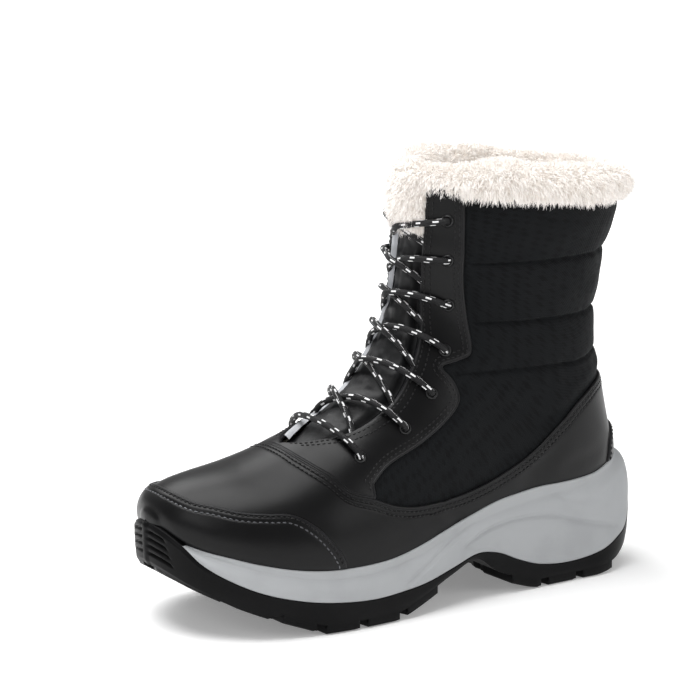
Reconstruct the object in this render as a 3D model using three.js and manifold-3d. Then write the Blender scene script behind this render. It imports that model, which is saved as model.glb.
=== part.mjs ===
// A lace-up snow boot for the left foot, empty and standing on its sole.
// Millimetres, +X toward the toe, +Y toward the outer side, +Z up.
// The origin lies on the ground under the middle of the heel tread.
import * as THREE from "three";
import { mergeVertices } from "three/addons/utils/BufferGeometryUtils.js";
import Module from "manifold-3d";

const wasm = await Module();
wasm.setup();

// Driving dimensions, in millimetres.
const soleLength = 276;
const ballWidth = 100;
const heelRise = 55;
const legHeight = 190;
const upperWall = 2.4;
const seatGap = 0.3;
const lugDepth = 4.5;
const rimThickness = 2.4;
const heelCentreShare = 0.2;
const throatWidth = 26;
const tongueThickness = 4;
const tongueClearance = 1.2;
const insoleThickness = 4.5;

// Plan of the sole: share of soleLength from the heel; centre and half in shares of ballWidth.
const soleOutline = [
  { at: 0.0, centre: 0.0, half: 0.36 },
  { at: 0.1, centre: 0.005, half: 0.365 },
  { at: 0.2, centre: 0.01, half: 0.365 },
  { at: 0.35, centre: 0.045, half: 0.355 },
  { at: 0.5, centre: 0.04, half: 0.41 },
  { at: 0.62, centre: 0.01, half: 0.475 },
  { at: 0.72, centre: -0.01, half: 0.5 },
  { at: 0.82, centre: -0.04, half: 0.49 },
  { at: 0.9, centre: -0.07, half: 0.46 },
  { at: 1.0, centre: -0.1, half: 0.4 },
];
const heelRound = 0.13;
const toeRound = 0.17;

// Heights of the sole's layers in shares of heelRise, by share of soleLength.
// A ground share below zero keeps that stretch flat on the floor.
const soleProfile = [
  { at: 0.0, ground: 0.24, joint: 0.84, rim: 1.12 },
  { at: 0.04, ground: 0.15, joint: 0.47, rim: 1.09 },
  { at: 0.085, ground: 0.04, joint: 0.33, rim: 1.04 },
  { at: 0.13, ground: 0.0, joint: 0.24, rim: 0.99 },
  { at: 0.2, ground: 0.0, joint: 0.2, rim: 0.97 },
  { at: 0.27, ground: 0.0, joint: 0.235, rim: 0.97 },
  { at: 0.32, ground: 0.07, joint: 0.32, rim: 0.95 },
  { at: 0.37, ground: 0.17, joint: 0.43, rim: 0.92 },
  { at: 0.42, ground: 0.33, joint: 0.47, rim: 0.855 },
  { at: 0.48, ground: 0.24, joint: 0.39, rim: 0.765 },
  { at: 0.54, ground: 0.11, joint: 0.31, rim: 0.67 },
  { at: 0.6, ground: 0.005, joint: 0.275, rim: 0.6 },
  { at: 0.66, ground: -0.02, joint: 0.26, rim: 0.575 },
  { at: 0.74, ground: -0.015, joint: 0.29, rim: 0.58 },
  { at: 0.8, ground: 0.085, joint: 0.34, rim: 0.61 },
  { at: 0.87, ground: 0.22, joint: 0.44, rim: 0.68 },
  { at: 0.92, ground: 0.33, joint: 0.56, rim: 0.75 },
  { at: 0.955, ground: 0.42, joint: 0.69, rim: 0.8 },
  { at: 0.978, ground: 0.49, joint: 0.85, rim: 0.85 },
  { at: 1.0, ground: 0.58, joint: 0.98, rim: 0.88 },
];

// Sections of the upper, from the toe round the ankle bend to the collar.
// front and back: where each section meets the middle plane, along in shares of soleLength.
// frontUp: share of legHeight. seat and climb: back end, shares of heelRise and legHeight.
// outer, inner: half widths in shares of ballWidth; wide: how far up the widest place is.
const upperSections = [
  {
    front: 0.985, frontUp: 0.309, back: 0.981, seat: 0.9, climb: 0,
    outer: 0.09, inner: 0.09, mid: -0.1, wide: 0.5, crown: 2, base: 2,
  },
  {
    front: 0.978, frontUp: 0.331, back: 0.966, seat: 0.775, climb: 0,
    outer: 0.185, inner: 0.19, mid: -0.1, wide: 0.45, crown: 2, base: 2.2,
  },
  {
    front: 0.961, frontUp: 0.353, back: 0.945, seat: 0.66, climb: 0,
    outer: 0.26, inner: 0.27, mid: -0.095, wide: 0.42, crown: 2.1, base: 2.6,
  },
  {
    front: 0.931, frontUp: 0.371, back: 0.917, seat: 0.55, climb: 0,
    outer: 0.335, inner: 0.345, mid: -0.085, wide: 0.38, crown: 2.1, base: 3,
  },
  {
    front: 0.888, frontUp: 0.387, back: 0.868, seat: 0.445, climb: 0,
    outer: 0.4, inner: 0.41, mid: -0.06, wide: 0.35, crown: 2.1, base: 3.4,
  },
  {
    front: 0.826, frontUp: 0.407, back: 0.797, seat: 0.37, climb: 0,
    outer: 0.445, inner: 0.445, mid: -0.03, wide: 0.33, crown: 2.1, base: 3.6,
  },
  {
    front: 0.757, frontUp: 0.438, back: 0.725, seat: 0.33, climb: 0,
    outer: 0.465, inner: 0.455, mid: -0.01, wide: 0.31, crown: 2.1, base: 3.6,
  },
  {
    front: 0.69, frontUp: 0.48, back: 0.645, seat: 0.32, climb: 0,
    outer: 0.455, inner: 0.44, mid: 0.005, wide: 0.3, crown: 2.05, base: 3.4,
  },
  {
    front: 0.631, frontUp: 0.535, back: 0.55, seat: 0.365, climb: 0,
    outer: 0.425, inner: 0.41, mid: 0.015, wide: 0.31, crown: 2, base: 3.2,
  },
  {
    front: 0.581, frontUp: 0.602, back: 0.44, seat: 0.475, climb: 0,
    outer: 0.395, inner: 0.38, mid: 0.02, wide: 0.36, crown: 2, base: 3,
  },
  {
    front: 0.546, frontUp: 0.67, back: 0.326, seat: 0.57, climb: 0,
    outer: 0.375, inner: 0.365, mid: 0.02, wide: 0.42, crown: 2.1, base: 2.9,
  },
  {
    front: 0.525, frontUp: 0.728, back: 0.21, seat: 0.61, climb: 0,
    outer: 0.36, inner: 0.355, mid: 0.015, wide: 0.46, crown: 2.1, base: 2.8,
  },
  {
    front: 0.511, frontUp: 0.777, back: 0.11, seat: 0.62, climb: 0,
    outer: 0.355, inner: 0.35, mid: 0.01, wide: 0.48, crown: 2.1, base: 2.7,
  },
  {
    front: 0.503, frontUp: 0.815, back: 0.05, seat: 0.62, climb: 0.053,
    outer: 0.355, inner: 0.35, mid: 0.008, wide: 0.5, crown: 2.1, base: 2.5,
  },
  {
    front: 0.498, frontUp: 0.852, back: 0.039, seat: 0.62, climb: 0.14,
    outer: 0.36, inner: 0.355, mid: 0.006, wide: 0.5, crown: 2.1, base: 2.3,
  },
  {
    front: 0.494, frontUp: 0.888, back: 0.055, seat: 0.62, climb: 0.25,
    outer: 0.37, inner: 0.365, mid: 0.005, wide: 0.5, crown: 2.1, base: 2.2,
  },
  {
    front: 0.49, frontUp: 0.924, back: 0.076, seat: 0.62, climb: 0.37,
    outer: 0.385, inner: 0.38, mid: 0.005, wide: 0.5, crown: 2.1, base: 2.2,
  },
  {
    front: 0.486, frontUp: 0.961, back: 0.094, seat: 0.62, climb: 0.485,
    outer: 0.4, inner: 0.395, mid: 0.005, wide: 0.5, crown: 2.1, base: 2.2,
  },
  {
    front: 0.482, frontUp: 1.0, back: 0.09, seat: 0.62, climb: 0.61,
    outer: 0.41, inner: 0.405, mid: 0.005, wide: 0.5, crown: 2.1, base: 2.2,
  },
  {
    front: 0.48, frontUp: 1.04, back: 0.072, seat: 0.62, climb: 0.725,
    outer: 0.42, inner: 0.415, mid: 0.005, wide: 0.5, crown: 2.1, base: 2.2,
  },
  {
    front: 0.479, frontUp: 1.085, back: 0.047, seat: 0.62, climb: 0.836,
    outer: 0.425, inner: 0.42, mid: 0.005, wide: 0.5, crown: 2.1, base: 2.2,
  },
  {
    front: 0.478, frontUp: 1.14, back: 0.034, seat: 0.62, climb: 0.93,
    outer: 0.428, inner: 0.423, mid: 0.005, wide: 0.5, crown: 2.1, base: 2.2,
  },
];

// Small helpers.
const clamp = (value, low, high) => Math.min(high, Math.max(low, value));
const blend = (from, to, share) => from + (to - from) * share;
const ease = (from, to, value) => {
  const share = clamp((value - from) / (to - from), 0, 1);
  return share * share * (3 - 2 * share);
};
const signedPower = (value, power) => Math.sign(value) * Math.abs(value) ** power;

// Smooth reading of a table column at a position between rows.
function readRows(rows, places, column, place) {
  const last = rows.length - 1;
  let row = 0;
  while (row < last - 1 && place > places[row + 1]) row += 1;
  const span = places[row + 1] - places[row];
  const share = clamp((place - places[row]) / span, 0, 1);
  const slopeAt = (index) => {
    const before = Math.max(index - 1, 0);
    const after = Math.min(index + 1, last);
    return (rows[after][column] - rows[before][column]) / (places[after] - places[before]);
  };
  const square = share * share;
  const cube = square * share;
  return (
    rows[row][column] * (2 * cube - 3 * square + 1) +
    slopeAt(row) * span * (cube - 2 * square + share) +
    rows[row + 1][column] * (3 * square - 2 * cube) +
    slopeAt(row + 1) * span * (cube - square)
  );
}

const outlinePlaces = soleOutline.map((row) => row.at);
const profilePlaces = soleProfile.map((row) => row.at);
const sectionPlaces = upperSections.map((row, index) => index);
const lastSection = upperSections.length - 1;
const alongX = (share) => (share - heelCentreShare) * soleLength;
const soleShare = (x) => x / soleLength + heelCentreShare;
const soleLevel = (column, share) =>
  heelRise * Math.max(0, readRows(soleProfile, profilePlaces, column, clamp(share, 0, 1)));

// Solids made from grids of points.
function toManifold(geometry) {
  const clean = geometry.clone();
  clean.deleteAttribute("normal");
  clean.deleteAttribute("uv");
  const merged = mergeVertices(clean, 1e-5);
  const mesh = new wasm.Mesh({
    numProp: 3,
    vertProperties: new Float32Array(merged.attributes.position.array),
    triVerts: new Uint32Array(merged.index.array),
  });
  return new wasm.Manifold(mesh);
}

function toGeometry(manifold) {
  const mesh = manifold.getMesh();
  const geometry = new THREE.BufferGeometry();
  geometry.setAttribute("position", new THREE.BufferAttribute(new Float32Array(mesh.vertProperties), 3));
  geometry.setIndex(new THREE.BufferAttribute(new Uint32Array(mesh.triVerts), 1));
  return geometry;
}

function solidFrom(points, triangles) {
  const geometry = new THREE.BufferGeometry();
  const flat = points.flatMap((point) => [point.x, point.y, point.z]);
  geometry.setAttribute("position", new THREE.BufferAttribute(new Float32Array(flat), 3));
  geometry.setIndex(triangles.flat());
  const solid = toManifold(geometry);
  if (solid.volume() > 0) return solid;
  geometry.setIndex(triangles.map(([a, b, c]) => [a, c, b]).flat());
  return toManifold(geometry);
}

// Closed solid from rings with the same number of points; ends closed to their middle points.
function ringSolid(rings) {
  const count = rings[0].length;
  const points = rings.flat();
  const triangles = [];
  for (let ring = 0; ring < rings.length - 1; ring += 1) {
    for (let step = 0; step < count; step += 1) {
      const next = (step + 1) % count;
      const a = ring * count + step;
      const b = ring * count + next;
      triangles.push([a, b, b + count], [a, b + count, a + count]);
    }
  }
  const middle = (ring) =>
    ring.reduce((sum, point) => sum.add(point), new THREE.Vector3()).multiplyScalar(1 / count);
  const firstMiddle = points.length;
  points.push(middle(rings[0]));
  const lastMiddle = points.length;
  points.push(middle(rings[rings.length - 1]));
  const lastStart = (rings.length - 1) * count;
  for (let step = 0; step < count; step += 1) {
    const next = (step + 1) % count;
    triangles.push([firstMiddle, next, step]);
    triangles.push([lastMiddle, lastStart + step, lastStart + next]);
  }
  return solidFrom(points, triangles);
}

// Closed slab between two grids of points with the same rows and columns.
function slabSolid(lower, upper) {
  const rows = lower.length;
  const columns = lower[0].length;
  const points = [...lower.flat(), ...upper.flat()];
  const lift = rows * columns;
  const triangles = [];
  const quad = (a, b, c, d) => triangles.push([a, b, c], [a, c, d]);
  for (let row = 0; row < rows - 1; row += 1) {
    for (let column = 0; column < columns - 1; column += 1) {
      const a = row * columns + column;
      quad(a, a + columns, a + columns + 1, a + 1);
      quad(a + lift, a + lift + 1, a + lift + columns + 1, a + lift + columns);
    }
  }
  for (let row = 0; row < rows - 1; row += 1) {
    const a = row * columns;
    const b = a + columns - 1;
    quad(a, a + lift, a + lift + columns, a + columns);
    quad(b, b + columns, b + lift + columns, b + lift);
  }
  for (let column = 0; column < columns - 1; column += 1) {
    const a = column;
    const b = (rows - 1) * columns + column;
    quad(a, a + 1, a + lift + 1, a + lift);
    quad(b, b + lift, b + lift + 1, b + 1);
  }
  return solidFrom(points, triangles);
}

// A flat outline of [x, height] pairs seen from the side, made solid from one y to another.
function sidePrism(outline, fromY, toY) {
  const flat = outline.map(([x, z]) => new THREE.Vector2(x, z));
  if (THREE.ShapeUtils.isClockWise(flat)) flat.reverse();
  const faces = THREE.ShapeUtils.triangulateShape(flat, []);
  const count = flat.length;
  const points = [
    ...flat.map((point) => new THREE.Vector3(point.x, fromY, point.y)),
    ...flat.map((point) => new THREE.Vector3(point.x, toY, point.y)),
  ];
  const triangles = [];
  for (const [a, b, c] of faces) {
    triangles.push([a, b, c], [a + count, c + count, b + count]);
  }
  for (let step = 0; step < count; step += 1) {
    const next = (step + 1) % count;
    triangles.push([step, step + count, next + count], [step, next + count, next]);
  }
  return solidFrom(points, triangles);
}

// A flat outline of [x, y] pairs seen from above, made solid from one height to another.
function planPrism(outline, fromZ, toZ) {
  const flat = outline.map(([x, y]) => new THREE.Vector2(x, y));
  if (THREE.ShapeUtils.isClockWise(flat)) flat.reverse();
  const shape = new THREE.Shape(flat);
  const geometry = new THREE.ExtrudeGeometry(shape, { depth: toZ - fromZ, bevelEnabled: false });
  geometry.translate(0, 0, fromZ);
  return toManifold(geometry);
}

// A point on the sole's plan, moved inward by inset.
function planEdge(share, side, inset) {
  const at = clamp(share, 0, 1);
  const centre = readRows(soleOutline, outlinePlaces, "centre", at) * ballWidth;
  const half = readRows(soleOutline, outlinePlaces, "half", at) * ballWidth;
  const heelShare = clamp((heelRound - at) / heelRound, 0, 1);
  const toeShare = clamp((at - 1 + toeRound) / toeRound, 0, 1);
  const round = (1 - heelShare ** 2.2) ** (1 / 2.2) * (1 - toeShare ** 2.2) ** (1 / 2.2);
  const reach = half * round;
  const shrink = 1 - inset / half;
  const middleX = alongX(0.5);
  const x = middleX + (alongX(at) - middleX) * (1 - (2 * inset) / soleLength);
  return new THREE.Vector3(x, centre + side * reach * shrink, 0);
}

const planSteps = 24;
const planShares = [...Array(planSteps + 1).keys()].map((step) => {
  const turn = (Math.PI * step) / planSteps;
  return 0.5 - 0.5 * Math.cos(turn);
});

function planRing(inset, heightAt) {
  const place = (share, side) => {
    const point = planEdge(share, side, inset);
    return point.setZ(heightAt(clamp(soleShare(point.x), 0, 1)));
  };
  const outer = planShares.map((share) => place(share, 1));
  const inner = planShares.slice(1, -1).reverse().map((share) => place(share, -1));
  return [...outer, ...inner];
}

// Closed stack of plan rings; its two ends are closed by strips straight across the foot.
function planStack(levels) {
  const rings = levels.map(({ inset, height }) => planRing(inset, height));
  const count = rings[0].length;
  const points = rings.flat();
  const triangles = [];
  for (let ring = 0; ring < rings.length - 1; ring += 1) {
    for (let step = 0; step < count; step += 1) {
      const next = (step + 1) % count;
      const a = ring * count + step;
      const b = ring * count + next;
      triangles.push([a, b, b + count], [a, b + count, a + count]);
    }
  }
  const across = (start, flip) => {
    for (let step = 0; step < planSteps; step += 1) {
      const a = start + step;
      const b = start + step + 1;
      const c = start + ((count - step - 1) % count);
      const d = start + ((count - step) % count);
      const faces = [];
      if (c !== b) faces.push([a, b, c]);
      if (d !== a) faces.push([a, c, d]);
      for (const [p, q, r] of faces) triangles.push(flip ? [p, r, q] : [p, q, r]);
    }
  };
  across(0, true);
  across((rings.length - 1) * count, false);
  return solidFrom(points, triangles);
}

// The upper's surface.
// along: section number with fractions, 0 at the toe.
// round: 0 on the front ridge, a quarter turn at the outer side, a half turn at the back.
function bareSurface(along, round) {
  const read = (column) => readRows(upperSections, sectionPlaces, column, along);
  const frontX = alongX(read("front"));
  const frontZ = read("frontUp") * legHeight;
  const backX = alongX(read("back"));
  const backZ = read("seat") * heelRise + read("climb") * legHeight;
  const across = Math.sin(round);
  const upright = Math.cos(round);
  const half = (across >= 0 ? read("outer") : read("inner")) * ballWidth;
  const power = 2 / (upright >= 0 ? read("crown") : read("base"));
  const wide = read("wide");
  const reach = upright >= 0 ? 1 - wide : wide;
  const up = wide + reach * signedPower(upright, power);
  const y = read("mid") * ballWidth + half * signedPower(across, power);
  return new THREE.Vector3(blend(backX, frontX, up), y, blend(backZ, frontZ, up));
}

function surfaceNormal(along, round) {
  const stepAlong = 0.06;
  const stepRound = 0.03;
  const lowAlong = Math.max(along - stepAlong, 0);
  const highAlong = Math.min(along + stepAlong, lastSection);
  const alongLine = bareSurface(highAlong, round).sub(bareSurface(lowAlong, round));
  const roundLine = bareSurface(along, round + stepRound).sub(bareSurface(along, round - stepRound));
  const normal = roundLine.cross(alongLine).normalize();
  return normal;
}

function upperSurface(along, round, offset) {
  return bareSurface(along, round).addScaledVector(surfaceNormal(along, round), offset);
}

const roundSteps = 24;
const formPlaces = [0, 0.5, 1, 1.75, 2.5, 3.5, 4.5, 5.5, 6.5, 7.5, 8.5, 9.5, 10.5, 11.5, 12.5];
for (let place = 13.5; place < lastSection - 0.5; place += 1) formPlaces.push(place);
formPlaces.push(lastSection);

function upperForm(offset, liftEnd = 0) {
  const rings = formPlaces.map((along) =>
    [...Array(roundSteps).keys()].map((step) => {
      const round = (2 * Math.PI * step) / roundSteps;
      return upperSurface(along, round, offset);
    })
  );
  if (liftEnd > 0) rings.push(rings[rings.length - 1].map((point) => point.clone().setZ(point.z + liftEnd)));
  return ringSolid(rings);
}

// The collar's cut, a plane that rises toward the front.
const collarFront = { x: alongX(0.5), z: legHeight * 1.09 };
const collarBack = { x: alongX(0.06), z: legHeight * 1.03 };
const collarSlope = (collarFront.z - collarBack.z) / (collarFront.x - collarBack.x);
const collarEdge = (x) => collarBack.z + (x - collarBack.x) * collarSlope;
function belowCollar(rise = 0) {
  const edge = (x) => collarEdge(x) + rise;
  const farBack = alongX(-0.4);
  const farFront = alongX(1.4);
  return sidePrism(
    [[farBack, -20], [farFront, -20], [farFront, edge(farFront)], [farBack, edge(farBack)]],
    -ballWidth, ballWidth
  );
}

// Half width of the throat in shares of throatWidth, by section number.
const throatRows = [
  { at: 6.25, half: 0.07 },
  { at: 6.45, half: 0.3 },
  { at: 6.8, half: 0.5 },
  { at: 7.5, half: 0.74 },
  { at: 8.8, half: 0.84 },
  { at: 9.7, half: 0.82 },
  { at: 11.4, half: 0.68 },
  { at: 12.6, half: 0.57 },
  { at: 14, half: 0.53 },
  { at: 17, half: 0.52 },
  { at: 21, half: 0.52 },
];
const throatPlaces = throatRows.map((row) => row.at);
const throatHalf = (along) => throatWidth * readRows(throatRows, throatPlaces, "half", along);

// A slab that follows the upper's surface along the ridge.
function ridgeSlab(places, shares, halfAt, lowAt, highAt) {
  const gridOf = (offsetAt) =>
    places.map((along, row) =>
      shares.map((share) => {
        const round = roundAtWidth(along, halfAt(along, row) * share);
        return upperSurface(along, round, offsetAt(along, share));
      })
    );
  return slabSolid(gridOf(lowAt), gridOf(highAt));
}
const throatCutPlaces = [6.25, 6.35, 6.55, 6.8, 7.2, 7.8, 8.5, 9.5, 10.5, 11.5, 12.6, 14, 16, 18, 20, 21];
const throatShares = [-1, -0.5, 0, 0.5, 1];

// The turn round a section at which the surface stands a given width from its ridge.
function roundAtWidth(along, width) {
  const read = (column) => readRows(upperSections, sectionPlaces, column, along);
  const half = (width >= 0 ? read("outer") : read("inner")) * ballWidth;
  const share = clamp(Math.abs(width) / half, 0, 0.99);
  return Math.sign(width) * Math.asin(share ** (read("crown") / 2));
}

const outerForm = upperForm(0);
const innerForm = upperForm(-upperWall, 12);
const clearForm = upperForm(seatGap);
const slot = ridgeSlab(throatCutPlaces, throatShares, throatHalf, () => -8, () => 9);

const seatOpening = planStack([
  { inset: 11, height: (share) => soleLevel("ground", share) + 2 },
  { inset: 11, height: (share) => seatLevel(share) + upperWall + 1.5 },
]);
function seatLevel(share) {
  const rows = upperSections.slice(0, 13).reverse();
  const places = rows.map((row) => row.back);
  return heelRise * readRows(rows, places, "seat", clamp(share, places[0], places[places.length - 1]));
}

const upperSolid = outerForm
  .subtract(innerForm)
  .intersect(belowCollar())
  .subtract(slot)
  .subtract(seatOpening);

// The sole: a foam wedge and a rubber tread with lugs, split along the joint height.
const layer = (column, rise = 0) => (share) => soleLevel(column, share) + rise;
const between = (share, low, high, part) => blend(soleLevel(low, share), soleLevel(high, share), part);
const underRim = planStack([
  { inset: -12, height: () => -5 },
  { inset: -12, height: layer("rim") },
]);
const aboveJoint = planStack([
  { inset: -12, height: layer("joint") },
  { inset: -12, height: () => 150 },
]);
const underJoint = planStack([
  { inset: -12, height: () => -5 },
  { inset: -12, height: (share) => soleLevel("joint", share) - seatGap },
]);
const soleBody = planStack([
  { inset: 3, height: (share) => soleLevel("ground", share) + lugDepth },
  { inset: 0.6, height: (share) => between(share, "ground", "joint", 0.6) + 1.5 },
  { inset: 0, height: layer("joint", 1) },
  { inset: 0.3, height: (share) => between(share, "joint", "rim", 0.45) },
  { inset: 2.6, height: (share) => between(share, "joint", "rim", 0.8) },
  { inset: 7, height: (share) => soleLevel("rim", share) - 0.5 },
]);
const rimForm = upperForm(rimThickness + seatGap).intersect(underRim);
const soleWhole = soleBody.intersect(underRim).add(rimForm).subtract(clearForm);
const midsoleSolid = soleWhole.intersect(aboveJoint);
const outsoleBody = soleWhole.intersect(underJoint);

const lugLayer = planStack([
  { inset: 2.2, height: layer("ground") },
  { inset: 0.9, height: (share) => soleLevel("ground", share) + lugDepth + 2 },
]);
const edgeLugs = [
  { from: 0.09, to: 0.163 },
  { from: 0.18, to: 0.246 },
  { from: 0.264, to: 0.335 },
  { from: 0.515, to: 0.585 },
  { from: 0.603, to: 0.672 },
  { from: 0.69, to: 0.757 },
  { from: 0.775, to: 0.838 },
  { from: 0.856, to: 0.91 },
  { from: 0.928, to: 0.975 },
];
const lugSlant = 5;
const lugPieces = [];
for (const { from, to } of edgeLugs) {
  for (const side of [1, -1]) {
    const centre = planEdge((from + to) / 2, 1, 0).y + planEdge((from + to) / 2, -1, 0).y;
    const reach = planEdge((from + to) / 2, 1, 0).y - planEdge((from + to) / 2, -1, 0).y;
    const innerY = centre / 2 + side * reach * 0.2;
    const outerY = centre / 2 + side * reach * 0.75;
    lugPieces.push(
      planPrism([
        [alongX(from) + lugSlant, innerY],
        [alongX(to) + lugSlant, innerY],
        [alongX(to), outerY],
        [alongX(from), outerY],
      ], -2, heelRise)
    );
  }
}
const centreLugs = edgeLugs.map(({ from, to }) => {
  const share = (from + to) / 2;
  const centre = (planEdge(share, 1, 0).y + planEdge(share, -1, 0).y) / 2;
  const reach = (planEdge(share, 1, 0).y - planEdge(share, -1, 0).y) * 0.15;
  const x = alongX(share);
  return planPrism([
    [x - 9, centre - reach],
    [x + 4, centre - reach],
    [x + 9, centre],
    [x + 4, centre + reach],
    [x - 9, centre + reach],
  ], -2, heelRise);
});
const lugs = wasm.Manifold.union([...lugPieces, ...centreLugs]).intersect(lugLayer);
const outsoleSolid = outsoleBody.add(lugs);

// The insole fills the seat inside the wall.
const insoleSlab = planStack([
  { inset: -8, height: (share) => seatLevel(share) - 3 },
  { inset: -8, height: (share) => seatLevel(share) + upperWall + seatGap + insoleThickness },
]);
const insoleSolid = upperForm(-upperWall - seatGap).intersect(insoleSlab);

// The tongue lies under the throat and swells into it.
const tonguePlaces = [6.3, 6.6, 7, 7.5, 8.1, 8.8, 9.7, 10.5, 11.4, 12.6, 14, 15.5, 17, 18.5, 20];
const tongueShares = [-1, -0.7, -0.45, -0.2, 0, 0.2, 0.45, 0.7, 1];
const tongueHalf = (along) => throatHalf(along) + throatWidth * 0.3;
function tongueForm(extra) {
  const halfAt = (along) => tongueHalf(along) + extra;
  const outside = (along, share) => {
    const edge = throatHalf(along);
    const place = Math.abs(share) * halfAt(along);
    const inThroat = 1 - ease(edge - throatWidth * 0.23, edge - throatWidth * 0.1, place);
    const swell = inThroat * ease(6.6, 8, along);
    return -upperWall - tongueClearance + swell * (upperWall + tongueClearance - 0.9) + extra;
  };
  const inside = () => -upperWall - tongueClearance - tongueThickness - extra;
  const places = extra > 0 ? [...tonguePlaces, 20.6] : tonguePlaces;
  return ridgeSlab(places, tongueShares, halfAt, inside, outside);
}
const tongueSolid = tongueForm(0);

// Side view of the seam between lower leather and shaft, from the ridge back to the heel.
const seamLine = [
  { along: 0.757, up: 0.447 },
  { along: 0.749, up: 0.426 },
  { along: 0.714, up: 0.383 },
  { along: 0.69, up: 0.348 },
  { along: 0.645, up: 0.326 },
  { along: 0.605, up: 0.303 },
  { along: 0.553, up: 0.291 },
  { along: 0.471, up: 0.297 },
  { along: 0.417, up: 0.311 },
  { along: 0.365, up: 0.332 },
  { along: 0.291, up: 0.376 },
  { along: 0.215, up: 0.455 },
  { along: 0.175, up: 0.502 },
  { along: 0.118, up: 0.541 },
  { along: -0.1, up: 0.585 },
];
// Side view of the rear edge of the lace facing, from the seam up to the collar.
const facingEdge = [
  { along: 0.645, up: 0.336 },
  { along: 0.643, up: 0.366 },
  { along: 0.605, up: 0.406 },
  { along: 0.533, up: 0.453 },
  { along: 0.477, up: 0.506 },
  { along: 0.449, up: 0.55 },
  { along: 0.455, up: 0.597 },
  { along: 0.472, up: 0.636 },
  { along: 0.44, up: 0.65 },
  { along: 0.414, up: 0.668 },
  { along: 0.419, up: 0.76 },
  { along: 0.427, up: 0.86 },
  { along: 0.428, up: 0.93 },
  { along: 0.424, up: 1.2 },
];
// Side view of the rear edge of the toe cap.
const capEdge = [
  { along: 0.978, up: 0.6 },
  { along: 0.97, up: 0.38 },
  { along: 0.968, up: 0.366 },
  { along: 0.947, up: 0.343 },
  { along: 0.917, up: 0.334 },
  { along: 0.881, up: 0.322 },
  { along: 0.841, up: 0.317 },
  { along: 0.805, up: 0.313 },
  { along: 0.773, up: 0.289 },
  { along: 0.743, up: 0.247 },
  { along: 0.715, up: 0.18 },
  { along: 0.69, up: -0.1 },
];
// Side view of the upright stay at the heel's back.
const stayEdge = [
  { along: -0.1, up: 0.2 },
  { along: 0.085, up: 0.2 },
  { along: 0.085, up: 0.35 },
  { along: 0.07, up: 0.39 },
  { along: 0.045, up: 0.408 },
  { along: -0.1, up: 0.412 },
];
const sidePoints = (rows) => rows.map(({ along, up }) => [alongX(along), up * legHeight]);
const leatherThickness = 1.3;
const farSide = ballWidth;

function skinBetween(low) {
  return upperForm(low + leatherThickness).subtract(upperForm(low));
}
const firstSkin = skinBetween(seatGap);
const secondSkin = skinBetween(seatGap * 2 + leatherThickness);

const behind = alongX(-0.1);
const ahead = alongX(1.2);
const vampOutline = [
  [ahead, -20],
  [ahead, legHeight * 0.6],
  [alongX(0.775), legHeight * 0.6],
  ...sidePoints(seamLine),
  [behind, -20],
];
const vampRegion = sidePrism(vampOutline, -farSide, farSide);
const seamRaised = sidePoints(seamLine.slice(0, 5)).map(([x, z]) => [x - 0.3, z + 0.8]);
const facingOutline = [
  [alongX(0.775), legHeight * 0.6],
  ...seamRaised,
  ...sidePoints(facingEdge).slice(1),
  [alongX(0.8), legHeight * 1.2],
];
const capOutline = [...sidePoints(capEdge), [ahead, -20], [ahead, legHeight * 0.6]];
const capRegion = sidePrism(capOutline, -farSide, farSide);
const stayRegion = sidePrism(sidePoints(stayEdge), -farSide, farSide);
const rimClear = planStack([
  { inset: -12, height: () => -5 },
  { inset: -12, height: (share) => soleLevel("rim", share) + seatGap },
]);

// Eyelets: flat rings on the lace facings, with a bore through the wall.
const eyeletWidth = 6.6;
const eyeletHole = 3.9;
const eyeletHeight = 0.8;
// From the vamp upward: section number and distance from the ridge in shares of throatWidth.
const eyeletRows = [
  { at: 7.45, out: 1.17 },
  { at: 8.85, out: 1.16 },
  { at: 10.05, out: 1.12 },
  { at: 11.65, out: 0.98 },
  { at: 14.05, out: 0.91 },
  { at: 16.6, out: 0.94 },
  { at: 18.75, out: 0.92 },
];
const facingTop = seatGap + leatherThickness;
const sideNames = [
  { name: "lateral", sign: 1 },
  { name: "medial", sign: -1 },
];

function turnedTo(geometry, place, direction) {
  const turn = new THREE.Quaternion().setFromUnitVectors(new THREE.Vector3(0, 1, 0), direction);
  geometry.applyQuaternion(turn);
  geometry.translate(place.x, place.y, place.z);
  return toManifold(geometry);
}

function eyeletAt(index, sign, offset) {
  const { at, out } = eyeletRows[index];
  const round = roundAtWidth(at, sign * out * throatWidth);
  return { place: upperSurface(at, round, offset), direction: surfaceNormal(at, round) };
}

function eyeletRing(index, sign) {
  const { place, direction } = eyeletAt(index, sign, facingTop + seatGap * 2);
  const profile = [
    new THREE.Vector2(eyeletHole / 2, 0),
    new THREE.Vector2(eyeletWidth / 2, 0),
    new THREE.Vector2(eyeletWidth / 2 - 0.5, eyeletHeight),
    new THREE.Vector2(eyeletHole / 2 + 0.4, eyeletHeight),
    new THREE.Vector2(eyeletHole / 2, 0),
  ];
  return turnedTo(new THREE.LatheGeometry(profile, 8), place, direction);
}

function eyeletBore(index, sign) {
  const { place, direction } = eyeletAt(index, sign, 0);
  const depth = 14;
  return turnedTo(new THREE.CylinderGeometry(eyeletHole / 2, eyeletHole / 2, depth, 6), place, direction);
}
const eyeletIndexes = eyeletRows.map((row, index) => index);
const bores = wasm.Manifold.union(
  sideNames.flatMap(({ sign }) => eyeletIndexes.map((index) => eyeletBore(index, sign)))
);

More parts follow.
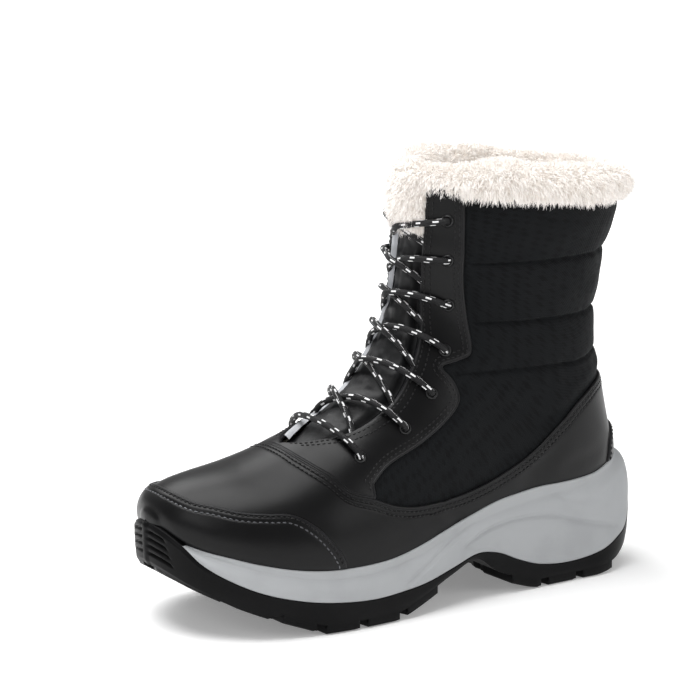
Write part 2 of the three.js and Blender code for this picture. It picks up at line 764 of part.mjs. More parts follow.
// Stitched lines between the quilted bands of the shaft.
const quiltLines = [
  { front: 0.612, back: 0.655 },
  { front: 0.743, back: 0.757 },
  { front: 0.903, back: 0.912 },
];
const quiltGroove = 2.6;
const quiltDepth = 0.9;
const quiltSkin = upperForm(4).subtract(upperForm(-quiltDepth));
const quiltCuts = quiltLines.map(({ front, back }) => {
  const frontZ = front * legHeight;
  const backZ = back * legHeight;
  const half = quiltGroove / 2;
  const outline = [
    [alongX(0.4), frontZ - half],
    [alongX(0.4), frontZ + half],
    [alongX(0.2), frontZ + half],
    [alongX(0), backZ + half],
    [alongX(0), backZ - half],
    [alongX(0.2), frontZ - half],
  ];
  return sidePrism(outline, -farSide, farSide).intersect(quiltSkin);
});

// The lace: a bar over the lowest eyelets and six crossings above it.
const laceWidth = 3.2;
const laceSides = 5;
function cordSolid(points, width = laceWidth) {
  const curve = new THREE.CatmullRomCurve3(points, false, "centripetal");
  const count = points.length;
  const rings = [];
  let across = null;
  for (let step = 0; step <= count; step += 1) {
    const place = curve.getPointAt(step / count);
    const direction = curve.getTangentAt(step / count);
    if (across === null) across = new THREE.Vector3(0, 0, 1);
    across = across.clone().addScaledVector(direction, -across.dot(direction)).normalize();
    const upward = direction.clone().cross(across);
    rings.push(
      [...Array(laceSides).keys()].map((side) => {
        const turn = (2 * Math.PI * side) / laceSides;
        return place
          .clone()
          .addScaledVector(across, (Math.cos(turn) * width) / 2)
          .addScaledVector(upward, (Math.sin(turn) * width) / 2);
      })
    );
  }
  return ringSolid(rings);
}

const laceOverFacing = facingTop + eyeletHeight + seatGap * 3 + laceWidth / 2 + 0.4;
const laceOverTongue = 1.7;
// One strand from under the facing at one eyelet to over the facing at the next one up.
function strand(index, sign, width = laceWidth) {
  const from = eyeletRows[index];
  const to = eyeletRows[index + 1];
  const startWidth = throatHalf(from.at) - laceWidth / 2 - 0.8;
  const endWidth = to.out * throatWidth;
  const points = [];
  const startShare = (from.out * throatWidth - startWidth) / (from.out * throatWidth + endWidth);
  for (const share of [startShare, 0.35, 0.5, 0.62, 0.72, 0.86, 1]) {
    const along = blend(from.at, to.at, share);
    const width = sign * blend(from.out * throatWidth, -endWidth, share);
    const climb = ease(0.3, 0.66, share);
    const offset = blend(laceOverTongue, laceOverFacing, climb);
    points.push(upperSurface(along, roundAtWidth(along, width), offset));
  }
  return cordSolid(points, width);
}
const crossings = eyeletIndexes.slice(0, -1).map((index) => strand(index, 1).add(strand(index, -1)));
const barRow = eyeletRows[0];
const barPoints = [-1, -0.75, -0.4, 0, 0.4, 0.75, 1].map((share) => {
  const along = barRow.at - 0.25 * (1 - share * share);
  return upperSurface(along, roundAtWidth(along, share * barRow.out * throatWidth), laceOverFacing);
});
const barSolid = cordSolid(barPoints);

// The pile roll round the collar.
const furOut = 9.5;
const furIn = 10;
const furDown = -1;
const lockLength = 9;
const lockRise = 3;
const furBackLift = 3;
const furBackFall = 2;
const furUp = 19;
const furStations = 30;
const furSides = 8;

function collarPoint(round) {
  let low = 14;
  let high = lastSection;
  for (let pass = 0; pass < 30; pass += 1) {
    const middle = (low + high) / 2;
    const point = bareSurface(middle, round);
    if (point.z < collarEdge(point.x)) low = middle;
    else high = middle;
  }
  const point = upperSurface(low, round, -upperWall / 2);
  const out = surfaceNormal(low, round).setZ(0).normalize();
  return { point, out };
}

const furRings = [...Array(furStations).keys()].map((station) => {
  const round = (2 * Math.PI * (station + 0.5)) / furStations;
  const { point, out } = collarPoint(round);
  const fromFront = Math.min(round, 2 * Math.PI - round);
  const side = ease(0.5, 1.15, fromFront);
  const back = ease(1.3, 2.7, fromFront);
  const reach = blend(2.5, furOut, side);
  const drop = blend(-2, furDown, side) - furBackLift * back;
  const rise = furUp - blend(6, 0, side) - furBackFall * back;
  return [...Array(furSides).keys()].map((step) => {
    const turn = (2 * Math.PI * step) / furSides;
    const lump = 1 + 0.09 * Math.sin(5 * round + 2 * turn) + 0.06 * Math.sin(11 * round + turn);
    const outward = Math.cos(turn) * lump * (reach + furIn) * 0.5 + (reach - furIn) * 0.5;
    const upward = Math.sin(turn) * lump * (rise + drop) * 0.5 + (rise - drop) * 0.5;
    return point.clone().addScaledVector(out, outward).setZ(point.z + upward);
  });
});
furRings.push(furRings[0]);

function loopSolid(rings) {
  const count = rings[0].length;
  const loops = rings.length - 1;
  const points = rings.slice(0, loops).flat();
  const triangles = [];
  for (let ring = 0; ring < loops; ring += 1) {
    const nextRing = ((ring + 1) % loops) * count;
    for (let step = 0; step < count; step += 1) {
      const next = (step + 1) % count;
      const a = ring * count + step;
      const b = ring * count + next;
      triangles.push([a, b, nextRing + next], [a, nextRing + next, nextRing + step]);
    }
  }
  return solidFrom(points, triangles);
}
const furRoll = loopSolid(furRings);

// Hanging locks along the lower edge of the pile.
const lockCount = 20;
const locks = [...Array(lockCount).keys()].map((index) => {
  const round = blend(0.95, 2 * Math.PI - 0.95, (index + 0.5) / lockCount);
  const { point, out } = collarPoint(round);
  const length = lockLength * (1 + 0.28 * Math.sin(index * 2.4));
  const lean = new THREE.Vector3(out.x * 0.12 + 0.2 * Math.sin(index * 1.7), out.y * 0.12, -1).normalize();
  const root = point.clone().addScaledVector(out, furOut * 0.55);
  root.z += lockRise + furBackLift * ease(1.3, 2.7, Math.min(round, 2 * Math.PI - round));
  const cone = new THREE.ConeGeometry(lockLength * 0.45, length, 5);
  return turnedTo(cone, root.addScaledVector(lean, length * 0.2), lean);
});
const furWhole = wasm.Manifold.union([furRoll, ...locks]);
const wallClear = upperForm(facingTop + seatGap)
  .subtract(upperForm(-upperWall - seatGap))
  .intersect(belowCollar(seatGap));
const tongueWedge = (half, clear) =>
  planPrism([
    [alongX(0.36), -half],
    [alongX(0.7), -half - clear],
    [alongX(0.7), half + clear],
    [alongX(0.36), half],
  ], 0, legHeight * 1.6);
const furCollarSolid = furWhole
  .subtract(wallClear)
  .subtract(tongueWedge(19.5, 4))
  .subtract(tongueForm(seatGap));
const furFrontPlaces = [18.1, 18.5, 19, 19.6, 20.2, 20.7];
const furFront = ridgeSlab(
  furFrontPlaces,
  [-1, -0.5, 0, 0.5, 1],
  (along, row) => (throatHalf(along) - 1.6) * (row === 0 ? 0.45 : 1),
  () => -2.5,
  (along, share) => 2 + 4 * ease(18, 19.1, along) * (1 - share * share * 0.7)
);
const topRow = eyeletRows.length - 2;
const topLaceClear = strand(topRow, 1, laceWidth + 1).add(strand(topRow, -1, laceWidth + 1));
const furTongueSolid = furRoll
  .intersect(tongueWedge(18.8, 4))
  .subtract(wallClear)
  .add(furFront)
  .subtract(tongueForm(seatGap))
  .subtract(topLaceClear);

// Finished pieces.
const shell = wasm.Manifold.union([...quiltCuts, bores]);
const upperFinished = upperSolid.subtract(shell);
const vampSolid = firstSkin.intersect(vampRegion).subtract(rimClear);
const capSolid = secondSkin.intersect(capRegion).subtract(rimClear);
const staySolid = secondSkin.intersect(stayRegion).subtract(rimClear);
const facingSolid = (sign) => {
  const region = sidePrism(facingOutline, sign > 0 ? 0.3 : -farSide, sign > 0 ? farSide : -0.3);
  return firstSkin.intersect(region).intersect(belowCollar()).subtract(slot).subtract(bores);
};

const group = new THREE.Group();
function addPiece(name, solid, colour, roughness, metalness = 0) {
  const material = new THREE.MeshStandardMaterial({ color: colour, roughness, metalness });
  material.name = name;
  const mesh = new THREE.Mesh(toGeometry(solid), material);
  mesh.name = name;
  group.add(mesh);
}
addPiece("outsole", outsoleSolid, "#17181a", 0.7);
addPiece("midsole", midsoleSolid, "#adb2b5", 0.6);
addPiece("insole", insoleSolid, "#d9d2c6", 0.95);
addPiece("upper", upperFinished, "#16171a", 0.85);
addPiece("vamp", vampSolid, "#131315", 0.4);
addPiece("toe_cap", capSolid, "#131315", 0.4);
addPiece("heel_stay", staySolid, "#131315", 0.4);
for (const { name, sign } of sideNames) addPiece(`lace_facing_${name}`, facingSolid(sign), "#131315", 0.42);
addPiece("tongue", tongueSolid, "#1b1c1e", 0.85);
addPiece("fur_collar", furCollarSolid, "#eee7dd", 0.95);
addPiece("tongue_fur", furTongueSolid, "#eee7dd", 0.95);
addPiece("lace_bar", barSolid, "#141414", 0.7);
crossings.forEach((solid, index) => addPiece(`lace_crossing_${index + 1}`, solid, "#141414", 0.7));
for (const { name, sign } of sideNames) {
  for (const index of eyeletIndexes) {
    addPiece(`eyelet_${name}_${index + 1}`, eyeletRing(index, sign), "#1a1a1c", 0.45, 0.1);
  }
}

export default group;
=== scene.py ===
# %% [markdown]
# # A snow boot, from its frame to its finish
# The boot is a laced winter boot: a leather lower part, a quilted textile shaft, a foam wedge on a
# rubber tread, and a roll of pile round the top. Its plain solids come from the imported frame, and
# this lesson dresses them. Every piece is made on the same curved surface that the solids follow,
# so each one sits where the frame says, seen from any side.

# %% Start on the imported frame
import bpy
import math
import numpy as np
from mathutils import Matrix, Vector, noise
from mathutils.bvhtree import BVHTree


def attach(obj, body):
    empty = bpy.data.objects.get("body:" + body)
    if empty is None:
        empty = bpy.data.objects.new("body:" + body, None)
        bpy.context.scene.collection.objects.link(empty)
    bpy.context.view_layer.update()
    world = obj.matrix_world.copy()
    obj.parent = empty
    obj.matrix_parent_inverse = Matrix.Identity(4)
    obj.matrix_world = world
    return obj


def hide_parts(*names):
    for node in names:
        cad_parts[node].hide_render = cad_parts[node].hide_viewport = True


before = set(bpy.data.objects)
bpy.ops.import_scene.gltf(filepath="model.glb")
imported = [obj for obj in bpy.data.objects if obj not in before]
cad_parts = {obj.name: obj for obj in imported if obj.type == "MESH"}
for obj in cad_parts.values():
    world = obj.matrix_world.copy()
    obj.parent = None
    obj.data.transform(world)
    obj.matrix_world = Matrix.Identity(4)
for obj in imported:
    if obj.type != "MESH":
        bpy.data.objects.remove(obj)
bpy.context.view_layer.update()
MM = 0.001
print("frame nodes:", len(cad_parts))

# %% [markdown]
# ## The camera
# A product photograph like this one is taken with a long lens, so that the boot isn't distorted.
# A camera could be placed by eye, but a few landmarks on the sole and collar fix its angle well:
# it stands 1.3 m away, a little above the boot, in front of its outer side.

# %% Camera
camera_azimuth = math.radians(148)
camera_height = math.radians(11.7037)
camera_distance = 1.3
focal_pixels, picture_pixels, sensor_mm = 2606.38, 700, 36
looked_at = Vector((0.11047, 0.0, 0.12832))
toward_camera = Vector((
    math.sin(camera_azimuth) * math.cos(camera_height),
    -math.cos(camera_azimuth) * math.cos(camera_height),
    math.sin(camera_height),
))
camera_data = bpy.data.cameras.new("camera")
camera_data.lens = focal_pixels / picture_pixels * sensor_mm
camera_data.sensor_width = sensor_mm
camera = bpy.data.objects.new("camera", camera_data)
bpy.context.scene.collection.objects.link(camera)
camera.location = looked_at + camera_distance * toward_camera
camera.rotation_euler = (-toward_camera).to_track_quat("-Z", "Y").to_euler()
bpy.context.scene.camera = camera
bpy.context.scene.view_settings.view_transform = "Standard"
print("camera at", [round(value, 3) for value in camera.location])

# %% [markdown]
# ## The boot's measures
# A last, the wooden foot a boot is built on, is described by sections. Two short tables hold the
# sole's plan and its heights, and a longer one the sections of the upper, from the toe round the
# ankle to the collar. Everything below reads them, so a changed share moves every piece with it.

# %% Measures in millimetres and shares
sole_length, ball_width, heel_rise, leg_height = 276, 100, 55, 190
upper_wall, lug_depth, throat_width = 2.4, 4.5, 26
heel_centre = 0.2
outline_at = [0.0, 0.1, 0.2, 0.35, 0.5, 0.62, 0.72, 0.82, 0.9, 1.0]
outline_centre = [0.0, 0.005, 0.01, 0.045, 0.04, 0.01, -0.01, -0.04, -0.07, -0.1]
outline_half = [0.36, 0.365, 0.365, 0.355, 0.41, 0.475, 0.5, 0.49, 0.46, 0.4]
profile_at = [0.0, 0.04, 0.085, 0.13, 0.2, 0.27, 0.32, 0.37, 0.42, 0.48,
              0.54, 0.6, 0.66, 0.74, 0.8, 0.87, 0.92, 0.955, 0.978, 1.0]
profile_ground = [0.24, 0.15, 0.04, 0.0, 0.0, 0.0, 0.07, 0.17, 0.33, 0.24,
                  0.11, 0.005, -0.02, -0.015, 0.085, 0.22, 0.33, 0.42, 0.49, 0.58]
profile_joint = [0.84, 0.47, 0.33, 0.24, 0.2, 0.235, 0.32, 0.43, 0.47, 0.39,
                 0.31, 0.275, 0.26, 0.29, 0.34, 0.44, 0.56, 0.69, 0.85, 0.98]
profile_rim = [1.12, 1.09, 1.04, 0.99, 0.97, 0.97, 0.95, 0.92, 0.855, 0.765,
               0.67, 0.6, 0.575, 0.58, 0.61, 0.68, 0.75, 0.8, 0.85, 0.88]
upper_columns = dict(
    front=[0.985, 0.978, 0.961, 0.931, 0.888, 0.826, 0.757, 0.69, 0.631, 0.581, 0.546,
           0.525, 0.511, 0.503, 0.498, 0.494, 0.49, 0.486, 0.482, 0.48, 0.479, 0.478],
    front_up=[0.309, 0.331, 0.353, 0.371, 0.387, 0.407, 0.438, 0.48, 0.535, 0.602, 0.67,
              0.728, 0.777, 0.815, 0.852, 0.888, 0.924, 0.961, 1.0, 1.04, 1.085, 1.14],
    back=[0.981, 0.966, 0.945, 0.917, 0.868, 0.797, 0.725, 0.645, 0.55, 0.44, 0.326,
          0.21, 0.11, 0.05, 0.039, 0.055, 0.076, 0.094, 0.09, 0.072, 0.047, 0.034],
    seat=[0.9, 0.775, 0.66, 0.55, 0.445, 0.37, 0.33, 0.32, 0.365, 0.475, 0.57] + [0.61] + [0.62] * 10,
    climb=[0] * 13 + [0.053, 0.14, 0.25, 0.37, 0.485, 0.61, 0.725, 0.836, 0.93],
    outer=[0.09, 0.185, 0.26, 0.335, 0.4, 0.445, 0.465, 0.455, 0.425, 0.395, 0.375,
           0.36, 0.355, 0.355, 0.36, 0.37, 0.385, 0.4, 0.41, 0.42, 0.425, 0.428],
    inner=[0.09, 0.19, 0.27, 0.345, 0.41, 0.445, 0.455, 0.44, 0.41, 0.38, 0.365,
           0.355, 0.35, 0.35, 0.355, 0.365, 0.38, 0.395, 0.405, 0.415, 0.42, 0.423],
    mid=[-0.1, -0.1, -0.095, -0.085, -0.06, -0.03, -0.01, 0.005, 0.015, 0.02, 0.02,
         0.015, 0.01, 0.008, 0.006] + [0.005] * 7,
    wide=[0.5, 0.45, 0.42, 0.38, 0.35, 0.33, 0.31, 0.3, 0.31, 0.36, 0.42, 0.46, 0.48] + [0.5] * 9,
    crown=[2, 2, 2.1, 2.1, 2.1, 2.1, 2.1, 2.05, 2, 2] + [2.1] * 12,
    base=[2, 2.2, 2.6, 3, 3.4, 3.6, 3.6, 3.4, 3.2, 3, 2.9, 2.8, 2.7, 2.5, 2.3] + [2.2] * 7,
)
last_section = len(upper_columns["front"]) - 1
sections = np.arange(last_section + 1.0)
print("sections of the upper:", last_section + 1)

# %% [markdown]
# ## Reading the tables
# Straight lines between the rows would leave corners on the leather. A cubic curve through each
# pair of rows, with slopes taken from their neighbours, reads the table smoothly.

# %% Smooth reading
def read_rows(places, values, place):
    places = np.asarray(places, float)
    values = np.asarray(values, float)
    place = np.clip(np.asarray(place, float), places[0], places[-1])
    row = np.clip(np.searchsorted(places, place) - 1, 0, len(places) - 2)
    before = np.maximum(np.arange(len(places)) - 1, 0)
    after = np.minimum(np.arange(len(places)) + 1, len(places) - 1)
    slope = (values[after] - values[before]) / (places[after] - places[before])
    span = places[row + 1] - places[row]
    share = (place - places[row]) / span
    square, cube = share ** 2, share ** 3
    return (values[row] * (2 * cube - 3 * square + 1) + slope[row] * span * (cube - 2 * square + share)
            + values[row + 1] * (3 * square - 2 * cube) + slope[row + 1] * span * (cube - square))


def ease(low, high, value):
    share = np.clip((value - low) / (high - low), 0, 1)
    return share * share * (3 - 2 * share)


def along_x(share):
    return (np.asarray(share, float) - heel_centre) * sole_length


def sole_share(x):
    return np.clip(np.asarray(x, float) / sole_length + heel_centre, 0, 1)


def level(values, share):
    return heel_rise * np.maximum(0, read_rows(profile_at, values, share))


def sole_middle(share):
    return read_rows(outline_at, outline_centre, share) * ball_width


def sole_half(share):
    return read_rows(outline_at, outline_half, share) * ball_width


def walked_length(points):
    return np.r_[0, np.cumsum(np.linalg.norm(np.diff(points, axis=0), axis=1))]


def unit(vectors):
    return vectors / np.maximum(np.linalg.norm(vectors, axis=-1, keepdims=True), 1e-9)


# %% [markdown]
# ## The surface of the upper
# A lofted shoe is a fan of sections: each runs from a point on the front ridge to a point at the
# back, and bulges to both sides. `along` picks the section and `turn` goes round it, from the ridge
# over the outer side (positive) or the inner side (negative). Leather, seams, laces and pile are
# all laid on this surface at a small offset.

# %% Points and normals of the upper
def signed_power(value, power):
    return np.sign(value) * np.abs(value) ** power


def upper_read(name, along):
    return read_rows(sections, upper_columns[name], along)


def bare_surface(along, turn):
    along, turn = np.broadcast_arrays(np.asarray(along, float), np.asarray(turn, float))
    tip = np.clip(-along, 0, 1)[..., None]
    along = np.maximum(along, 0)
    across, upright = np.sin(turn), np.cos(turn)
    front_x, front_z = along_x(upper_read("front", along)), upper_read("front_up", along) * leg_height
    back_x = along_x(upper_read("back", along))
    back_z = upper_read("seat", along) * heel_rise + upper_read("climb", along) * leg_height
    half = side_half(along, across)
    power = 2 / np.where(upright >= 0, upper_read("crown", along), upper_read("base", along))
    wide = upper_read("wide", along)
    up = wide + np.where(upright >= 0, 1 - wide, wide) * signed_power(upright, power)
    y = upper_read("mid", along) * ball_width + half * signed_power(across, power)
    point = np.stack([back_x + (front_x - back_x) * up, y, back_z + (front_z - back_z) * up], -1)
    middle = np.stack([(front_x + back_x) / 2 + tip_middle, upper_read("mid", along) * ball_width,
                       (front_z + back_z) / 2], -1)
    shrink = np.cos(tip * np.pi / 2)
    forward = np.sin(tip * np.pi / 2)
    return point + (middle - point) * (1 - shrink) + np.array([tip_bulge, 0, 0]) * (forward * shrink)


# At the tip the sections close in a cap, and its normals lean toward those of an ellipsoid.
tip_middle, tip_bulge = 2.2, 1.2
toe_middle = np.array([float(along_x(0.93)), -10.0, 53.0])
toe_half_sizes = np.array([15.0, 32.0, 15.0])
normal_step, turn_step = 0.06, 0.03


def surface_normal(along, turn):
    low = np.maximum(along - normal_step, -0.97)
    high = np.minimum(along + normal_step, last_section)
    lengthwise = bare_surface(high, turn) - bare_surface(low, turn)
    roundwise = bare_surface(along, turn + turn_step) - bare_surface(along, turn - turn_step)
    normal = unit(np.cross(roundwise, lengthwise))
    near_tip = 1 - ease(0.2, 1.6, along)[..., None]
    from_toe_middle = bare_surface(along, turn) - toe_middle
    return unit(normal * (1 - near_tip) + unit(from_toe_middle / toe_half_sizes ** 2) * near_tip)


def upper_surface(along, turn, offset):
    along, turn = np.broadcast_arrays(np.asarray(along, float), np.asarray(turn, float))
    offset = np.broadcast_to(np.asarray(offset, float), along.shape)
    return bare_surface(along, turn) + surface_normal(along, turn) * offset[..., None]


def side_half(along, width):
    outer, inner = upper_read("outer", along), upper_read("inner", along)
    return np.where(np.asarray(width) >= 0, outer, inner) * ball_width


def turn_at_width(along, width):
    share = np.clip(np.abs(width) / side_half(along, width), 0, 0.99)
    return np.sign(width) * np.arcsin(share ** (upper_read("crown", along) / 2))


def width_at_turn(along, turn):
    side = side_half(along, turn)
    return np.where(np.cos(turn) > 0, side * np.abs(np.sin(turn)) ** (2 / upper_read("crown", along)), side)


print("top of the ridge at", bare_surface(np.array(21.0), np.array(0.0)).round(1), "mm")

# %% [markdown]
# ## Meshes and materials, made by hand
# A few small helpers do the work. One turns arrays of points and faces into a mesh object, in metres,
# and puts it on its body. One turns a colour's hex value into the linear numbers that light is
# computed with, and one adds a shader node with its settings and links. The last ones number the
# faces of a grid and of many copies of one small grid.

# %% Helpers for meshes and nodes
def make_piece(name, points, faces, material, stands_for=(), uv=None, values=None):
    mesh = bpy.data.meshes.new(name)
    mesh.from_pydata((np.asarray(points) * MM).tolist(), [], np.asarray(faces).tolist())
    if uv is not None:
        corner = np.empty(len(mesh.loops), dtype=np.int32)
        mesh.loops.foreach_get("vertex_index", corner)
        layer = mesh.uv_layers.new(name="millimetres")
        layer.data.foreach_set("uv", np.asarray(uv, np.float32)[corner].ravel())
    for label, column in (values or {}).items():
        attribute = mesh.attributes.new(label, "FLOAT", "POINT")
        attribute.data.foreach_set("value", np.asarray(column, np.float32))
    mesh.materials.append(material)
    mesh.polygons.foreach_set("use_smooth", [True] * len(mesh.polygons))
    mesh.update()
    piece = bpy.data.objects.new(name, mesh)
    bpy.context.scene.collection.objects.link(piece)
    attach(piece, "root")
    if stands_for:
        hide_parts(*stands_for)
    print(name, "-", len(mesh.polygons), "faces")
    return piece


def to_linear(hex_colour):
    parts = [int(hex_colour[start:start + 2], 16) / 255 for start in (1, 3, 5)]
    return [part / 12.92 if part <= 0.04045 else ((part + 0.055) / 1.055) ** 2.4 for part in parts] + [1]


def new_material(name):
    material = bpy.data.materials.new(name)
    material.use_nodes = True
    material.node_tree.nodes.clear()
    return material


def add_node(material, kind, settings=None, inputs=None, links=None):
    node = material.node_tree.nodes.new(kind)
    for label, value in (settings or {}).items():
        setattr(node, label, value)
    for label, value in (inputs or {}).items():
        node.inputs[label].default_value = value
    for label, source in (links or {}).items():
        material.node_tree.links.new(source, node.inputs[label])
    return node


def grid_faces(rows, columns, closed=False):
    last_column = columns if closed else columns - 1
    row, column = np.meshgrid(np.arange(rows - 1), np.arange(last_column), indexing="ij")
    here, beside = row * columns + column, row * columns + (column + 1) % columns
    return np.stack([here, beside, beside + columns, here + columns], -1).reshape(-1, 4)


def halved(quads):
    return np.vstack([quads[:, [0, 1, 2]], quads[:, [0, 2, 3]]])


def repeated_faces(faces, points_each, count):
    return (faces[None] + (np.arange(count) * points_each)[:, None, None]).reshape(-1, 4)


def full_turn(sides):
    return np.arange(sides) * 2 * np.pi / sides


print("white is", to_linear("#ffffff"))

# %% [markdown]
# ## Leather of the lower boot
# The lower boot is coated cow leather: the hide is split, dyed through, and pressed with a
# pigmented finish. The finish gives the eye a calm satin sheen with a wide soft highlight, fine
# pores, and slightly worn, greyer edges along each seam. The pores are drawn 0.9 mm apart, about
# twice as coarse as real ones, so that they show.

# %% Coated leather
pore_spacing = 0.9


def coated_leather(name, colour, worn_colour, roughness):
    leather = new_material(name)
    place = add_node(leather, "ShaderNodeTexCoord")
    pores = add_node(leather, "ShaderNodeTexVoronoi", {"feature": "F1"}, {"Scale": 1 / (pore_spacing * MM)},
                     {"Vector": place.outputs["Object"]})
    cloud = add_node(leather, "ShaderNodeTexNoise", {}, {"Scale": 60, "Detail": 5},
                     {"Vector": place.outputs["Object"]})
    edge = add_node(leather, "ShaderNodeAttribute", {"attribute_name": "edge_mm"})
    near_edge = add_node(leather, "ShaderNodeMapRange", {"interpolation_type": "SMOOTHSTEP"},
                         {"From Min": 0.2, "From Max": 1.6, "To Min": 1, "To Max": 0},
                         {"Value": edge.outputs["Fac"]})
    tone = add_node(leather, "ShaderNodeMix", {"data_type": "RGBA"},
                    {6: to_linear(colour), 7: to_linear(worn_colour)}, {0: near_edge.outputs[0]})
    shine = add_node(leather, "ShaderNodeMapRange", {},
                     {"To Min": roughness - 0.06, "To Max": roughness + 0.08},
                     {"Value": cloud.outputs["Fac"]})
    grain = add_node(leather, "ShaderNodeBump", {}, {"Strength": 0.16, "Distance": 0.12 * MM},
                     {"Height": pores.outputs["Distance"]})
    dents = add_node(leather, "ShaderNodeBump", {}, {"Strength": 0.12, "Distance": 1.2 * MM},
                     {"Height": cloud.outputs["Fac"], "Normal": grain.outputs[0]})
    surface = add_node(leather, "ShaderNodeBsdfPrincipled", {}, {"IOR": 1.5, "Specular IOR Level": 0.2,
                       "Coat Weight": 0.03, "Coat Roughness": 0.3},
                       {"Base Color": tone.outputs[2], "Roughness": shine.outputs[0],
                        "Normal": dents.outputs[0]})
    add_node(leather, "ShaderNodeOutputMaterial", links={"Surface": surface.outputs[0]})
    return leather


leather = coated_leather("coated_leather_pressed", "#050506", "#1a1a1c", 0.34)
print("pores every", pore_spacing, "mm")

# %% [markdown]
# ## Woven shaft textile
# The shaft is a jacquard: a polyester cloth whose threads float in small groups, so a quiet
# tone-on-tone figure shows where the light meets them. A generic check of short slanted floats is
# drawn from rounded cells 5 mm wide, and two waves stand for threads about 0.9 mm apart, as coarse
# as they need to be to show.

# %% Jacquard textile
textile = new_material("polyester_jacquard_woven")
cloth_place = add_node(textile, "ShaderNodeUVMap", {"uv_map": "millimetres"})
warp = add_node(textile, "ShaderNodeTexWave", {"wave_type": "BANDS", "bands_direction": "DIAGONAL"},
                {"Scale": 0.36, "Distortion": 0.6}, {"Vector": cloth_place.outputs[0]})
weft = add_node(textile, "ShaderNodeTexWave", {"wave_type": "BANDS", "bands_direction": "Y"},
                {"Scale": 0.34, "Distortion": 0.8}, {"Vector": cloth_place.outputs[0]})
figure = add_node(textile, "ShaderNodeTexVoronoi", {"feature": "F1", "distance": "MANHATTAN"},
                  {"Scale": 0.2, "Randomness": 0.3}, {"Vector": cloth_place.outputs[0]})
figure_edge = add_node(textile, "ShaderNodeMapRange", {"interpolation_type": "SMOOTHSTEP"},
                       {"From Min": 0.35, "From Max": 0.6}, {"Value": figure.outputs["Distance"]})
weave = add_node(textile, "ShaderNodeMath", {"operation": "ADD"},
                 links={0: warp.outputs["Fac"], 1: weft.outputs["Fac"]})
cloth_tone = add_node(textile, "ShaderNodeMix", {"data_type": "RGBA"},
                      {6: to_linear("#060709"), 7: to_linear("#0e1012")}, {0: figure_edge.outputs[0]})
thread_bump = add_node(textile, "ShaderNodeBump", {}, {"Strength": 0.5, "Distance": 0.25 * MM},
                       {"Height": weave.outputs[0]})
figure_bump = add_node(textile, "ShaderNodeBump", {}, {"Strength": 0.3, "Distance": 0.2 * MM},
                       {"Height": figure_edge.outputs[0], "Normal": thread_bump.outputs[0]})
cloth_surface = add_node(textile, "ShaderNodeBsdfPrincipled", {},
                         {"Roughness": 0.75, "Sheen Weight": 0.02, "Sheen Roughness": 0.45, "IOR": 1.45,
                          "Specular IOR Level": 0.15},
                         {"Base Color": cloth_tone.outputs[2], "Normal": figure_bump.outputs[0]})
add_node(textile, "ShaderNodeOutputMaterial", links={"Surface": cloth_surface.outputs[0]})
print("threads every", 0.9, "mm")

# %% [markdown]
# ## Foam, rubber, thread and cord
# The wedge is moulded EVA foam: matte, faintly pebbled, cool grey. The tread is carbon-black
# rubber from a steel mould, near matte. The seams are sewn in black polyester thread; the toe
# cap's outer row is drawn lighter grey, a painted highlight of light glancing off its stitches.
# The eyelets are enamelled rings and the lining is pressed wool. One function makes them all:
# a fine pebble from the mould or the fibre, and clouds of wear.

# %% Moulded and spun materials
def moulded(name, colour, worn_colour, roughness, pebble, pebble_height, gloss=0.5):
    material = new_material(name)
    place = add_node(material, "ShaderNodeTexCoord")
    fine = add_node(material, "ShaderNodeTexNoise", {}, {"Scale": 1 / (pebble * MM), "Detail": 3},
                    {"Vector": place.outputs["Object"]})
    cloud = add_node(material, "ShaderNodeTexNoise", {}, {"Scale": 45, "Detail": 6},
                     {"Vector": place.outputs["Object"]})
    patch = add_node(material, "ShaderNodeMapRange", {"interpolation_type": "SMOOTHSTEP"},
                     {"From Min": 0.42, "From Max": 0.72}, {"Value": cloud.outputs["Fac"]})
    tone = add_node(material, "ShaderNodeMix", {"data_type": "RGBA"},
                    {6: to_linear(colour), 7: to_linear(worn_colour)}, {0: patch.outputs[0]})
    shine = add_node(material, "ShaderNodeMapRange", {},
                     {"To Min": roughness - 0.08, "To Max": roughness + 0.08},
                     {"Value": cloud.outputs["Fac"]})
    bump = add_node(material, "ShaderNodeBump", {}, {"Strength": 0.4, "Distance": pebble_height * MM},
                    {"Height": fine.outputs["Fac"]})
    surface = add_node(material, "ShaderNodeBsdfPrincipled", {}, {"IOR": 1.5, "Specular IOR Level": gloss},
                       {"Base Color": tone.outputs[2], "Roughness": shine.outputs[0],
                        "Normal": bump.outputs[0]})
    add_node(material, "ShaderNodeOutputMaterial", links={"Surface": surface.outputs[0]})
    return material


foam = moulded("eva_foam_moulded", "#a3a5a7", "#9d9fa1", 0.6, 0.5, 0.12, 0.3)
rubber = moulded("carbon_rubber_moulded", "#060607", "#0c0c0d", 0.44, 0.6, 0.15, 0.1)
thread = moulded("polyester_thread_spun", "#0b0b0c", "#131315", 0.4, 0.3, 0.1, 0.3)
# Painted highlight: the toe cap's outer row is lighter grey for light glancing off its stitches.
cap_thread_painted_highlight = moulded("polyester_thread_painted_highlight", "#45464a", "#6a6b6f", 0.45, 0.3, 0.1)
enamel = moulded("black_enamel_rolled", "#0a0a0b", "#121214", 0.3, 0.8, 0.04, 0.4)
felt = moulded("wool_felt_pressed", "#d8d0c2", "#c6bcab", 0.95, 1.2, 0.5)
gusset_cloth = moulded("grey_nylon_woven", "#b4b6ba", "#9c9ea3", 0.6, 0.5, 0.15)
tongue_cloth = moulded("black_nylon_woven", "#08080a", "#101113", 0.5, 0.5, 0.2, 0.3)
piping_leather = moulded("rolled_leather_piping", "#09090a", "#111113", 0.38, 0.7, 0.08, 0.25)
print("moulded and spun materials are ready")
